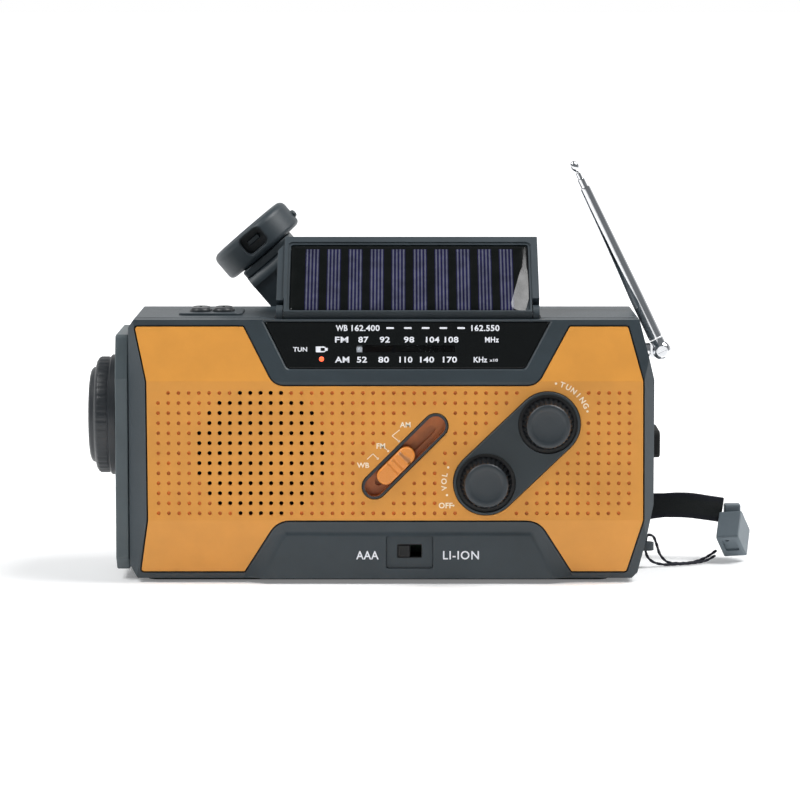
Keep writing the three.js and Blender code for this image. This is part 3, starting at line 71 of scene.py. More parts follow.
def from_bmesh(bm):
    bmesh.ops.recalc_face_normals(bm, faces=bm.faces)
    mesh = bpy.data.meshes.new("shape")
    bm.to_mesh(mesh)
    bm.free()
    return add_object(mesh)


def remove(obj):
    mesh = obj.data
    bpy.data.objects.remove(obj)
    bpy.data.meshes.remove(mesh)


def evaluated(obj):
    """Applies the object's modifiers to its mesh."""
    graph = bpy.context.evaluated_depsgraph_get()
    mesh = bpy.data.meshes.new_from_object(obj.evaluated_get(graph))
    obj.modifiers.clear()
    old, obj.data = obj.data, mesh
    bpy.data.meshes.remove(old)
    return obj


def combine(base, operation, tools, solver="EXACT"):
    for tool in tools:
        step = base.modifiers.new("combine", "BOOLEAN")
        step.operation = operation
        step.solver = solver
        step.object = tool
    evaluated(base)
    for tool in tools:
        remove(tool)
    return base


def cut(base, *tools):
    return combine(base, "DIFFERENCE", tools)


def joined(base, *tools):
    return combine(base, "UNION", tools)


def common(base, *tools):
    return combine(base, "INTERSECT", tools)


def weld(obj, distance=0.0005):
    bm = bmesh.new()
    bm.from_mesh(obj.data)
    bmesh.ops.remove_doubles(bm, verts=bm.verts, dist=distance)
    bmesh.ops.dissolve_degenerate(bm, edges=bm.edges, dist=distance)
    bm.to_mesh(obj.data)
    bm.free()
    return obj


def soften(obj, width, steps=2, angle=35):
    """Rounds every edge sharper than the angle."""
    weld(obj)
    step = obj.modifiers.new("soften", "BEVEL")
    step.width = width
    step.segments = steps
    step.limit_method = "ANGLE"
    step.angle_limit = math.radians(angle)
    return evaluated(obj)


AXES = {
    "X": lambda a, b, c: (c, a, b),
    "Y": lambda a, b, c: (a, c, b),
    "Z": lambda a, b, c: (a, b, c),
}


def prism(points, low, high, axis):
    """A prism along an axis. Points are (Y, Z), (X, Z) or (X, Y)."""
    place = AXES[axis]
    bm = bmesh.new()
    near = [bm.verts.new(place(a, b, low)) for a, b in points]
    far = [bm.verts.new(place(a, b, high)) for a, b in points]
    bm.faces.new(near)
    bm.faces.new(far)
    for i in range(len(points)):
        j = (i + 1) % len(points)
        bm.faces.new((near[i], near[j], far[j], far[i]))
    return from_bmesh(bm)


def box(xs, ys, zs):
    return prism([(xs[0], ys[0]), (xs[1], ys[0]), (xs[1], ys[1]), (xs[0], ys[1])], zs[0], zs[1], "Z")


def hull(points):
    bm = bmesh.new()
    for point in points:
        bm.verts.new(point)
    made = bmesh.ops.convex_hull(bm, input=bm.verts)
    unused = [v for v in made["geom_interior"] if isinstance(v, bmesh.types.BMVert)]
    bmesh.ops.delete(bm, geom=unused, context="VERTS")
    bmesh.ops.dissolve_limit(bm, angle_limit=math.radians(1), verts=bm.verts, edges=bm.edges)
    return from_bmesh(bm)


def rod(axis, place, start, end, radius, sides=32):
    """A rod along an axis. Its place is (Y, Z), (X, Z) or (X, Y)."""
    start, end = (Vector(AXES[axis](*place, c)) for c in (start, end))
    along = end - start
    bm = bmesh.new()
    bmesh.ops.create_cone(
        bm, cap_ends=True, segments=sides, radius1=radius, radius2=radius, depth=along.length,
    )
    turn = along.to_track_quat("Z", "Y").to_matrix().to_4x4()
    bm.transform(Matrix.Translation((start + end) / 2) @ turn)
    return from_bmesh(bm)


def turned(profile, sides, radius_at=None):
    """A solid turned about Z from rows of (radius, height); radius_at may vary a row round the turn."""
    bm = bmesh.new()
    closed = profile[0] == profile[-1]
    rows = []
    for number, (radius, height) in enumerate(profile[:-1] if closed else profile):
        if radius == 0:
            rows.append([bm.verts.new((0, 0, height))] * sides)
            continue
        row = []
        for i in range(sides):
            turn = 2 * math.pi * i / sides
            reach = radius_at(number, turn, radius) if radius_at else radius
            row.append(bm.verts.new((reach * math.cos(turn), reach * math.sin(turn), height)))
        rows.append(row)
    if closed:
        rows.append(rows[0])
    for lower, upper in zip(rows, rows[1:]):
        for i in range(sides):
            j = (i + 1) % sides
            corners = list(dict.fromkeys((lower[i], lower[j], upper[j], upper[i])))
            if len(corners) > 2:
                bm.faces.new(corners)
    return from_bmesh(bm)


def circle(x, y, radius, sides=48):
    return [
        (x + radius * math.cos(2 * math.pi * i / sides), y + radius * math.sin(2 * math.pi * i / sides))
        for i in range(sides)
    ]


def capsule(x, y, half, radius, angle, steps=16):
    points = []
    for side in (1, -1):
        for i in range(steps + 1):
            turn = angle + (0 if side > 0 else math.pi) + math.pi * (i / steps - 0.5)
            points.append((
                x + side * half * math.cos(angle) + radius * math.cos(turn),
                y + side * half * math.sin(angle) + radius * math.sin(turn),
            ))
    return points


def rounded(points, radius, steps=5):
    """The outline with its corners as arcs; the radius is one number or one for each corner."""
    count = len(points)
    radii = radius if isinstance(radius, (list, tuple)) else [radius] * count
    made = []
    for i, point in enumerate(points):
        corner = Vector(point)
        before = (Vector(points[i - 1]) - corner).normalized()
        after = (Vector(points[(i + 1) % count]) - corner).normalized()
        half = math.acos(max(-1, min(1, before.dot(after)))) / 2
        if radii[i] == 0 or abs(half - math.pi / 2) < 0.01:
            made.append(tuple(point))
            continue
        centre = corner + (before + after).normalized() * (radii[i] / math.sin(half))
        start = corner + before * (radii[i] / math.tan(half)) - centre
        end = corner + after * (radii[i] / math.tan(half)) - centre
        sweep = start.angle_signed(end)
        for k in range(steps + 1):
            turn = -sweep * k / steps
            c, s = math.cos(turn), math.sin(turn)
            made.append((centre.x + start.x * c - start.y * s, centre.y + start.x * s + start.y * c))
    return made


def rectangle(left, right, low, high):
    return [(left, low), (right, low), (right, high), (left, high)]


def slab(sides, radius, steps, low, high, axis):
    """A prism of a rectangle, (left, right, low, high), with rounded corners."""
    return prism(rounded(rectangle(*sides), radius, steps), low, high, axis)


def area(points):
    return sum(a[0] * b[1] - b[0] * a[1] for a, b in zip(points, points[1:] + points[:1])) / 2


def inset(points, distance):
    """The outline with each edge moved inwards, outwards when the distance is negative."""
    ring = points if area(points) > 0 else points[::-1]
    ring = [Vector(p) for p in ring]
    made = []
    for i, corner in enumerate(ring):
        arriving = (corner - ring[i - 1]).normalized()
        leaving = (ring[(i + 1) % len(ring)] - corner).normalized()
        inwards = Vector((-arriving.y - leaving.y, arriving.x + leaving.x))
        made.append(tuple(corner + inwards * (distance / (1 + arriving.dot(leaving)))))
    return made


def moved(obj, matrix):
    obj.data.transform(matrix)
    return obj


def shift(x, y, z):
    return Matrix.Translation((x, y, z))


def turn_about(axis, degrees):
    return Matrix.Rotation(math.radians(degrees), 4, axis)


def merge(objects):
    """Several objects as one mesh, without cutting them."""
    bm = bmesh.new()
    for obj in objects:
        bm.from_mesh(obj.data)
        remove(obj)
    mesh = bpy.data.meshes.new("shape")
    bm.to_mesh(mesh)
    bm.free()
    return add_object(mesh)


def smooth(obj, angle=35):
    obj.data.shade_smooth()
    obj.data.set_sharp_from_angle(angle=math.radians(angle))
    step = obj.modifiers.new("normals", "WEIGHTED_NORMAL")
    step.keep_sharp = True
    return evaluated(obj)


def piece(name, obj, body, finishes, stands_for=(), angle=35, paint=None):
    """Names the object, scales it to metres and fixes it to its body.

    With several finishes, paint(centre, normal) gives the number of a face's finish, in millimetres.
    """
    finishes = finishes if isinstance(finishes, (list, tuple)) else [finishes]
    obj.name = name
    obj.data.name = name
    obj.data.materials.clear()
    for finish in finishes:
        obj.data.materials.append(finish)
    for face in obj.data.polygons:
        face.material_index = paint(face.center, face.normal) if paint else 0
    obj.data.transform(Matrix.Scale(MM, 4))
    smooth(obj, angle)
    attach(obj, body)
    if stands_for:
        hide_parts(*stands_for)
    return obj


# ---------------------------------------------------------------- materials

class Nodes:
    """Adds nodes to a tree. A value is a number, a colour or another node's output."""

    def __init__(self, tree):
        self.tree = tree

    def put(self, node, values):
        for name, value in values.items():
            socket = node.inputs[name.replace("_", " ")]
            if isinstance(value, bpy.types.NodeSocket):
                self.tree.links.new(value, socket)
            else:
                socket.default_value = value

    def node(self, kind, **values):
        made = self.tree.nodes.new("ShaderNode" + kind)
        self.put(made, values)
        return made

    def split(self, vector):
        return self.node("SeparateXYZ", Vector=vector).outputs

    def math(self, operation, *values):
        made = self.node("Math")
        made.operation = operation
        for socket, value in zip(made.inputs, values):
            if isinstance(value, bpy.types.NodeSocket):
                self.tree.links.new(value, socket)
            else:
                socket.default_value = value
        return made.outputs["Value"]

    def span(self, value, low, high, start=0.3, end=0.7):
        """Goes from low to high as the value goes from start to end."""
        made = self.node("MapRange", Value=value, From_Min=start, From_Max=end, To_Min=low, To_Max=high)
        return made.outputs["Result"]

    def tint(self, value, low, high, start=0.3, end=0.7):
        """Goes from the low colour to the high one as the value goes from start to end."""
        made = self.node("ValToRGB", Fac=value)
        for stop, place, color in zip(made.color_ramp.elements, (start, end), (low, high)):
            stop.position = place
            stop.color = (*color, 1)
        return made.outputs["Color"]


class Finish(Nodes):
    """A Principled material in the making. Sizes are in millimetres."""

    def __init__(self, name):
        self.material = bpy.data.materials.new(name)
        self.material.use_nodes = True
        super().__init__(self.material.node_tree)
        self.coords = self.node("TexCoord").outputs["Object"]

    def noise(self, size, detail, roughness=0.55):
        made = self.node(
            "TexNoise", Vector=self.coords, Scale=1 / (size * MM), Detail=detail, Roughness=roughness,
        )
        return made.outputs["Fac"]

    def bump(self, height, depth, strength=1.0):
        made = self.node("Bump", Strength=strength, Distance=depth * MM, Height=height)
        return made.outputs["Normal"]

    def mix(self, factor, first, second):
        made = self.node("Mix")
        made.data_type = "RGBA"
        self.put(made, {"Factor": factor, "A": first, "B": second})
        return made.outputs["Result"]

    def surface(self, **values):
        self.put(self.tree.nodes["Principled BSDF"], values)
        return self.material


def srgb(red, green, blue):
    """A colour given as it shows, 0 to 255, in linear light."""
    def linear(v):
        v /= 255
        return v / 12.92 if v <= 0.04045 else ((v + 0.055) / 1.055) ** 2.4
    return linear(red), linear(green), linear(blue)


def shade(color, factor):
    return tuple(min(1, c * factor) for c in color)


def plastic(name, color, roughness, grain=0.35, depth=0.012, variation=0.08, cloud=14.0):
    """Moulded plastic: a fine eroded grain, faint clouds of colour and uneven gloss."""
    made = Finish(name)
    dim, bright = shade(color, 1 - variation), shade(color, 1 + variation)
    fine = made.noise(grain, 2)
    return made.surface(
        Base_Color=made.tint(made.noise(cloud, 4), dim, bright, 0.35, 0.65),
        Roughness=made.span(fine, roughness - 0.05, roughness + 0.06),
        Normal=made.bump(fine, depth),
    )


def metal(name, color, roughness):
    """Plated or turned metal, with faint handling marks in its gloss."""
    made = Finish(name)
    marks = made.noise(6.0, 5, 0.65)
    return made.surface(
        Base_Color=made.tint(marks, shade(color, 0.9), color),
        Roughness=made.span(marks, roughness * 0.7, roughness * 1.4),
        Metallic=1.0,
        Normal=made.bump(made.noise(0.5, 2), 0.002),
    )


def glow(name, color, strength):
    made = Finish(name)
    tint = made.tint(made.noise(0.6, 2), shade(color, 0.85), color)
    return made.surface(
        Base_Color=tint, Emission_Color=tint, Emission_Strength=strength, Roughness=0.25,
    )


def glossy(name, color, roughness, alpha=1.0, smear_size=4.0, dim=0.9, change=0.04):
    """Smooth plastic, clear when its alpha is low, with faint wipe marks in its gloss."""
    made = Finish(name)
    smear = made.noise(smear_size, 4)
    return made.surface(
        Base_Color=made.tint(smear, shade(color, dim), color),
        Roughness=made.span(smear, roughness, roughness + change),
        Alpha=alpha,
    )


CELL_GROUPS = 10
CELL_FIRST = -30.9  # X of the first group's left edge
CELL_PITCH = 7.76
CELL_WIDTH = 5.0
CELL_LINES = 4
LINE_HALF = 0.27
CELL_LOW = 95.4
CELL_HIGH = 117.0


def cell_material():
    """Groups of violet-black wafer with pale contact lines across, under clear resin."""
    made = Finish("solar_cells")
    x, _, z = made.split(made.coords)
    across = made.math("MULTIPLY", x, 1 / MM)
    up = made.math("MULTIPLY", z, 1 / MM)
    from_first = made.math("SUBTRACT", across, CELL_FIRST)
    in_group = made.math("WRAP", from_first, CELL_PITCH, 0.0)
    row_half = CELL_GROUPS * CELL_PITCH / 2
    from_middle = made.math("ABSOLUTE", made.math("SUBTRACT", from_first, row_half))
    line_pitch = CELL_WIDTH / CELL_LINES
    in_line = made.math("WRAP", in_group, line_pitch, 0.0)
    from_line = made.math("ABSOLUTE", made.math("SUBTRACT", in_line, line_pitch / 2))
    wafer = made.math("LESS_THAN", in_group, CELL_WIDTH)
    for limit in (
        made.math("LESS_THAN", from_middle, row_half),
        made.math("GREATER_THAN", up, CELL_LOW),
        made.math("LESS_THAN", up, CELL_HIGH),
    ):
        wafer = made.math("MULTIPLY", wafer, limit)
    line = made.math("MULTIPLY", wafer, made.math("LESS_THAN", from_line, LINE_HALF))
    clouds = made.noise(5.0, 4)
    dark, violet, pale = (
        made.tint(clouds, srgb(*low), srgb(*high), 0.35, 0.65)
        for low, high in (
            ((4, 7, 6), (8, 11, 10)), ((18, 17, 46), (26, 25, 64)), ((76, 78, 92), (92, 94, 108)),
        )
    )
    return made.surface(
        Base_Color=made.mix(line, made.mix(wafer, dark, violet), pale),
        Roughness=made.span(clouds, 0.13, 0.2),
        IOR=1.36,
    )


RIB_PITCH = 0.9
THREAD_PITCH = 0.7


def woven(name, edge, middle):
    """Twill webbing: ribs that slope across the band, and darker turned edges."""
    made = Finish(name)
    along, across, _ = made.split(made.node("TexCoord").outputs["UV"])
    slope = made.math("ADD", along, made.math("MULTIPLY", across, 0.6))
    ribs = made.math("SINE", made.math("MULTIPLY", slope, 2 * math.pi / RIB_PITCH))
    threads = made.math("SINE", made.math("MULTIPLY", across, 2 * math.pi / THREAD_PITCH))
    fibres = made.noise(0.4, 4)
    height = made.math("ADD", made.math("MULTIPLY", made.math("MULTIPLY", ribs, threads), 0.35), fibres)
    share = made.span(made.math("MULTIPLY", made.math("ABSOLUTE", across), 0.15), 0.0, 1.0)
    inner, outer = (made.tint(fibres, shade(color, 0.7), color) for color in (middle, edge))
    return made.surface(
        Base_Color=made.mix(share, inner, outer),
        Roughness=made.span(fibres, 0.7, 0.9),
        Normal=made.bump(height, 0.12, 0.6),
    )


case_plastic = plastic("case_plastic", srgb(46, 56, 62), 0.46)
dark_plastic = plastic("dark_plastic", srgb(38, 42, 46), 0.42, depth=0.008)
# Black plastic; in the knob wells and the switch opening's lining it is painted shade.
black_and_painted_shade_plastic = plastic("black_and_painted_shade_plastic", srgb(14, 16, 17), 0.5, depth=0.008)
orange_plastic = plastic("orange_plastic", srgb(220, 150, 60), 0.5, depth=0.009, variation=0.04)
orange_gloss = plastic("orange_gloss", srgb(226, 142, 60), 0.3, depth=0.003, variation=0.03)
# Lighter grey than the case; part of the lightness is painted light falling on the left end.
cap_plastic = plastic("cap_plastic", srgb(80, 90, 94), 0.46)
# Darker rust-brown inside the blind dents: painted shade in the hollows.
dent_shade_plastic = plastic("dent_shade_plastic", srgb(204, 112, 34), 0.55, variation=0.2, cloud=2.0)
# Brown for the band switch's phenolic body, and for the band tub's floor and shutter, where it is a
# painted reflection of the orange thumb.
brown_phenolic_and_painted_reflection = plastic("brown_phenolic_and_painted_reflection", srgb(180, 106, 50), 0.42, variation=0.12, cloud=5.0)
rubber = plastic("rubber", srgb(18, 19, 21), 0.8, grain=0.25, depth=0.02)
print_white = plastic("print_white", srgb(238, 240, 246), 0.55, 0.2, 0.002, 0.03)
print_cream = plastic("print_cream", srgb(255, 236, 208), 0.6, 0.2, 0.002, 0.04)
chrome = metal("chrome", (0.86, 0.87, 0.89), 0.09)
steel = metal("steel", (0.56, 0.57, 0.58), 0.3)

led_red = glow("led_red", (1.0, 0.09, 0.03), 2.2)
# The dial pointer glows as painted light; it is no lamp, and the glow keeps it bright behind the dark
# glass.
pointer_painted_glow = glow("pointer_painted_glow", (0.62, 0.66, 0.72), 0.9)
led_body = glossy("led_body", (0.95, 0.9, 0.62), 0.2)
lens_clear = glossy("lens_clear", (0.86, 0.9, 0.92), 0.03, 0.28)
smoked_clear = glossy("smoked_clear", (0.004, 0.0045, 0.005), 0.06, 0.3)
window_black = glossy("window_black", (0.003, 0.004, 0.004), 0.1, 1.0, 9.0, 0.85, 0.05)
solar_resin = cell_material()
webbing_cloth = woven("webbing_cloth", srgb(14, 16, 34), srgb(26, 31, 32))
cord_cloth = plastic("cord_cloth", srgb(16, 18, 32), 0.75, 0.3, 0.05, 0.25, 2.5)
lock_plastic = plastic("lock_plastic", srgb(108, 119, 126), 0.45)
plate_plastic = plastic("plate_plastic", srgb(36, 46, 51), 0.46)
knob_skirt_plastic = plastic("knob_skirt_plastic", srgb(22, 25, 28), 0.4, depth=0.006)
knob_cap_plastic = plastic("knob_cap_plastic", srgb(44, 51, 56), 0.42, depth=0.006)
nylon = plastic("nylon", srgb(222, 218, 206), 0.5, depth=0.006)
board_green = plastic("board_green", srgb(32, 92, 58), 0.45, variation=0.2, cloud=3.0)
cell_blue = plastic("cell_blue", srgb(48, 96, 172), 0.35, depth=0.003)
brass = metal("brass", (0.62, 0.45, 0.2), 0.28)
ferrite = plastic("ferrite", srgb(58, 54, 51), 0.6, variation=0.2, cloud=3.0)


# ---------------------------------------------------------------- case outlines

EDGE = 0.8
CASE_FRONT = -33
CASE_REAR = 33
CASE_RIGHT = 93.6
CASE_TOP = 94
CASE_WALL = 2.8
CASE_SPLIT = 18
SEAM = 0.3
LOWER_FOLD = 23
UPPER_FOLD = 72.6
side_profile = [(-33, 23), (-28, 1.5), (31, 1.5), (33, 3.5), (33, 92), (31, 94), (-27, 94), (-33, 72.6)]
front_profile = [
    (-90.5, 1.5), (86, 1.5), (88, 3.6), (93.6, 28), (93.6, 72.6), (88.2, 94), (-91.5, 94),
    (-93.5, 91), (-93.5, 6),
]
plan_profile = [
    (-86.7, -33), (89.7, -33), (93.6, -28), (93.6, 31), (91.6, 33), (-91.5, 33), (-93.5, 31),
    (-93.5, -25),
]
DIAL_TILT = math.degrees(math.atan2(6, 21.4))
CENTRE_X = 6


def block(margin, edge=0.0):
    """The faceted block of the case, smaller all round by the margin, its edges rounded."""
    made = common(
        prism(inset(side_profile, margin), -FAR, FAR, "X"),
        prism(inset(front_profile, margin), -FAR, FAR, "Y"),
        prism(inset(plan_profile, margin), -FAR, FAR, "Z"),
    )
    return soften(made, edge, 3, 8) if edge else weld(made)


panel_outline = rounded(
    [
        (-91.1, 91.7), (-86.7, UPPER_FOLD), (-86.4, LOWER_FOLD), (-89.3, 3.9), (-52.2, 3.9),
        (-40.4, 22.8), (52.55, 22.8), (64.4, 3.9), (84, 3.9), (89.7, LOWER_FOLD), (89.4, UPPER_FOLD),
        (84.2, 91.7), (63.4, 91.7), (51.75, 71), (-41.5, 71), (-52.4, 91.7),
    ],
    [1, 0, 0, 1, 0.8, 8, 8, 0.8, 1, 0, 0, 1, 0.8, 6, 6, 0.8],
    6,
)

TUNING = (55.6, 57.4)
VOLUME = (33.7, 36.4)
PLATE_RADIUS = 11.5
PLATE_MIDDLE = ((TUNING[0] + VOLUME[0]) / 2, (TUNING[1] + VOLUME[1]) / 2)
PLATE_HALF = math.dist(TUNING, VOLUME) / 2
PLATE_ANGLE = math.atan2(TUNING[1] - VOLUME[1], TUNING[0] - VOLUME[0])
SLOT = (5, 45.9)
SLOT_HALF = 15.3
SLOT_RADIUS = 4.4
SLOT_ANGLE = math.pi / 4
SWITCH = (6.6, 11.8)
SWITCH_RECESS = (-1.8, 15, 5.6, 17.2)
CRANK = (-11, 71)
SHAFT_BORE = 3.3
KNOB_BORE = 3.5
SPEAKER = (-46.2, 47)
SPEAKER_OPENING = 25
LAMP = (0, 57.2)
LAMP_OPENING = 14
CAP_OPENING = 15.6
KNUCKLE = (98.9, 12, 79.4)
ANTENNA_BORE = 3.4
PORT_Z = 47.8
BUTTON_X = (-69, -60.8)
BUTTON_GAP = 0.3
BUTTON_RADIUS = 3.7
BUTTON_PROUD = 2.2
BUTTON_Y = 3
BUTTON_HALF = 3.4
PAD_SIDES = (-76.5, -53.5, -9, 15)
PRESS_FIT = 0.25  # gap between the panel and what is set into it


def onto_dial(obj):
    place = shift(0, CASE_FRONT, UPPER_FOLD) @ turn_about("X", -DIAL_TILT)
    return moved(obj, place)


dial_corners = [(-36.6, 4.8), (47.4, 4.8), (56.2, 21.4), (-44.8, 21.4)]
LED = (-24.6, 8.1)
LED_BORE = 1.4
POINTER_X = -11.2
POINTER_ROW = 11.8
POINTER_TRAVEL = 32.6
POINTER_HALF = (1, 0.95)


def dial_outline(margin):
    return rounded(inset(dial_corners, margin), [2.2, 2.2, 0.4, 0.4], 6)


def channel(margin, front, rear):
    """A block as long as the pointer's whole way along the dial."""
    half_width, half_height = POINTER_HALF
    return box(
        (POINTER_X - half_width - margin, POINTER_X + POINTER_TRAVEL + half_width + margin),
        (front, rear),
        (POINTER_ROW - half_height - margin, POINTER_ROW + half_height + margin),
    )


# ---------------------------------------------------------------- strap

STRAP_WIDTH = 9
STRAP_THICK = 1.1
CORD_RADIUS = 0.55
webbing_route = [
    (122.9, 26.3, 18.4), (117, 26.7, 19.2), (110, 28.4, 19.8), (103, 31, 19.6), (96, 34.2, 19),
    (88, 37.6, 17), (79, 40.4, 13.4), (69, 42.4, 9), (58, 43.8, 6), (46, 44.4, 4.9), (33, 44.2, 4.8),
    (20, 45, 4.8), (8, 50, 4.8), (1, 60, 4.8), (1.4, 73, 4.8), (10, 83, 4.8), (23, 86.4, 4.8),
    (37, 84, 4.8), (51, 76.6, 4.9), (64, 67, 6), (75, 58, 9), (85, 49.8, 13.2), (95, 42, 17),
    (104, 35.2, 19.2), (111, 31, 19.8), (117, 28.8, 19.2), (122.9, 28.1, 18.4),
]
cord_route = [
    (120.2, 19.6, 4.2), (116.4, 17, 2.2), (111.4, 13.8, 0.9), (106, 11.2, 0.8), (101.4, 9.4, 1.6),
    (98.6, 8, 4.6), (97.2, 7, 8.6), (95.8, 6.4, 11.6), (94, 6.1, 12), (93.1, 6, 9.8), (93.1, 6, 6.6),
    (93.9, 6.1, 4), (96, 6.6, 2), (100, 7.4, 0.9), (105.4, 9, 0.8), (110.8, 11.6, 0.8), (116, 15, 1.2),
    (119.6, 17.6, 2.6),
]


def route_points(route, step):
    """Points about a step apart on a smooth line through the route."""
    points = [Vector(p) for p in route]
    points = [points[0] * 2 - points[1], *points, points[-1] * 2 - points[-2]]
    dense = []
    for a, b, c, d in zip(points, points[1:], points[2:], points[3:]):
        knots = [0.0]
        for start, end in ((a, b), (b, c), (c, d)):
            knots.append(knots[-1] + math.sqrt((end - start).length))
        t0, t1, t2, t3 = knots
        for i in range(24):
            t = t1 + (t2 - t1) * i / 24
            first = a * ((t1 - t) / (t1 - t0)) + b * ((t - t0) / (t1 - t0))
            second = b * ((t2 - t) / (t2 - t1)) + c * ((t - t1) / (t2 - t1))
            third = c * ((t3 - t) / (t3 - t2)) + d * ((t - t2) / (t3 - t2))
            early = first * ((t2 - t) / (t2 - t0)) + second * ((t - t0) / (t2 - t0))
            late = second * ((t3 - t) / (t3 - t1)) + third * ((t - t1) / (t3 - t1))
            dense.append(early * ((t2 - t) / (t2 - t1)) + late * ((t - t1) / (t2 - t1)))
    dense.append(points[-2])
    reach = [0.0]
    for a, b in zip(dense, dense[1:]):
        reach.append(reach[-1] + (b - a).length)
    count = round(reach[-1] / step)
    made, at = [], 0
    for i in range(count + 1):
        wanted = reach[-1] * i / count
        while at < len(reach) - 2 and reach[at + 1] < wanted:
            at += 1
        share = (wanted - reach[at]) / (reach[at + 1] - reach[at])
        made.append(dense[at].lerp(dense[at + 1], share))
    return made, reach[-1]


def strand(points, section_at):
    """A solid along the points; section_at(number) gives its (across, over) outline there."""
    bm = bmesh.new()
    uv = bm.loops.layers.uv.new("along")
    rings, places = [], []
    travelled = 0.0
    for i, point in enumerate(points):
        ahead = (points[min(i + 1, len(points) - 1)] - points[max(i - 1, 0)]).normalized()
        across = ahead.cross(Vector((0, 0, 1))).normalized()
        over = across.cross(ahead)
        travelled += (point - points[i - 1]).length if i else 0
        rings.append([bm.verts.new(point + across * a + over * b) for a, b in section_at(i)])
        places.append(travelled)
    sides = len(rings[0])
    outline = section_at(0)
    for i in range(len(points) - 1):
        for k in range(sides):
            n = (k + 1) % sides
            face = bm.faces.new((rings[i][k], rings[i][n], rings[i + 1][n], rings[i + 1][k]))
            for loop, (row, side) in zip(face.loops, ((i, k), (i, n), (i + 1, n), (i + 1, k))):
                loop[uv].uv = (places[row], outline[side][1])
    bm.faces.new(rings[0])
    bm.faces.new(rings[-1])
    return from_bmesh(bm)


def webbing_section(_):
    half, thick, edge = STRAP_WIDTH / 2, STRAP_THICK / 2, 0.45
    return [
        (thick * 0.8, -half + edge), (thick, -half * 0.6), (thick, half * 0.6),
        (thick * 0.8, half - edge), (0.25, half), (-0.25, half), (-thick * 0.8, half - edge),
        (-thick, half * 0.6), (-thick, -half * 0.6), (-thick * 0.8, -half + edge),
        (-0.25, -half), (0.25, -half),
    ]


def cord_section(number):
    """Two twisted strands: an outline with two lobes that turns as it goes."""
    turn = number * 0.55
    return [
        (
            CORD_RADIUS * (0.86 + 0.14 * math.cos(2 * (angle - turn))) * math.cos(angle),
            CORD_RADIUS * (0.86 + 0.14 * math.cos(2 * (angle - turn))) * math.sin(angle),
        )
        for angle in (2 * math.pi * k / 12 for k in range(12))
    ]


def strap():
    points, length = route_points(webbing_route, 1.6)
    band = piece("strap_webbing_loop", strand(points, webbing_section), "radio", webbing_cloth,
                 ["strap_webbing"], 50)
    points, length = route_points(cord_route, 0.5)
    string = piece("strap_cord_loop", strand(points, cord_section), "radio", cord_cloth,
                   ["strap_cord"], 50)


LOCK_PLACE = (
    shift(126.6, 22, 10.2) @ turn_about("Z", -20) @ turn_about("Y", -6) @ turn_about("X", -42)
)


def strap_lock():
    """The leaning block that joins the cord and the webbing, with a shallow recess and a small hole in
    its lower end.
    """
    body = slab((-6.5, 6.5, -6, 6), 0.9, 3, -4.3, 4.3, "X")
    soften(body, 0.5, 3, 30)
    recess = slab((-2.6, 2.6, -4.6, 2.4), 0.7, 3, -7, -5.2, "Z")
    hole = rod("Z", (-0.9, -3.3), -8, -2, 0.75, 16)
    cut(body, recess, hole)
    moved(body, LOCK_PLACE)
    tab = soften(box((123.6, 129.6), (24.6, 29.6), (12, 20.8)), 0.7, 3, 30)
    return joined(body, tab)


def strap_lug():
    root, middle, y, radius = 89.9, 93.1, 6, 3
    low, high = 6.6, 9.4
    ring = rod("Z", (middle, y), low, high, radius, 40)
    joined(ring, box((root, middle), (y - radius, y + radius), (low, high)))
    cut(ring, rod("Z", (middle, y), low - 1.6, high + 1.6, 1.6, 32))
    return soften(ring, 0.45, 3, 40)


# ---------------------------------------------------------------- the two shells

def loft(rings):
    """A closed solid through rings of points that all have the same count."""
    bm = bmesh.new()
    made = [[bm.verts.new(p) for p in ring] for ring in rings]
    for low, high in zip(made, made[1:]):
        for i in range(len(low)):
            j = (i + 1) % len(low)
            bm.faces.new((low[i], low[j], high[j], high[i]))
    bm.faces.new(made[0])
    bm.faces.new(made[-1])
    return from_bmesh(bm)


def domed(outline_at, top, base, rise, steps=6, inward=None):
    """A solid whose top edge is rounded: outline_at(inset) is its plan, in (a, b) at height c."""
    inward = rise if inward is None else inward
    rings = [[(a, b, base) for a, b in outline_at(0)]]
    for i in range(steps + 1):
        turn = math.pi / 2 * i / steps
        height = top - rise * (1 - math.sin(turn))
        rings.append([(a, b, height) for a, b in outline_at(inward * (1 - math.cos(turn)))])
    return loft(rings)


FACE_FRONT = turn_about("X", 90)  # turns a shape's top to the front of the radio


def faced_front(obj, y):
    """Puts a shape that was made flat, (X, Z, outwards), at a depth, its top to the front."""
    return moved(obj, shift(0, y, 0) @ FACE_FRONT)


def shell_half(low, high):
    shell = cut(block(0, EDGE), block(CASE_WALL))
    return common(shell, box((-FAR, FAR), (low, high), (-FAR, FAR)))


def lower_block():
    """The low block under the panel, whose face stands between sloping borders."""
    low, face_top, top, rear = 1.9, 17.5, 23, -25
    face = [(-45.7, low), (-37.3, face_top), (49.4, face_top), (57.8, low)]
    foot = [(-53.2, -28, low), (-41.2, -31, top), (53.4, -31, top), (65.4, -28, low)]
    return hull([
        *((x, BLOCK_FRONT, z) for x, z in face), *foot, *((x, rear, z) for x, _, z in foot),
    ])


POCKET_X = (CENTRE_X - 47.6, CENTRE_X + 47.6)
POCKET_FRONT = -24
POCKET_REAR = 26
POCKET_FLOOR = 90.4
HINGE = (-19.5, 95)
HINGE_BORE = 1.6
LUG_RADIUS = 3.6
LUG_INNER = 44.6
LUG_THICK = 2.3
SCREWS = ((-84, 12), (84, 12), (-84, 84), (84, 84))
SCREW_SEAT = 31.4
VENT_FIRST = (54, 62)
VENT_PITCH = 5
DOOR = (-36, 26, 13, 50)
BLOCK_FRONT = -32.5
SWITCH_FACE = -31.7


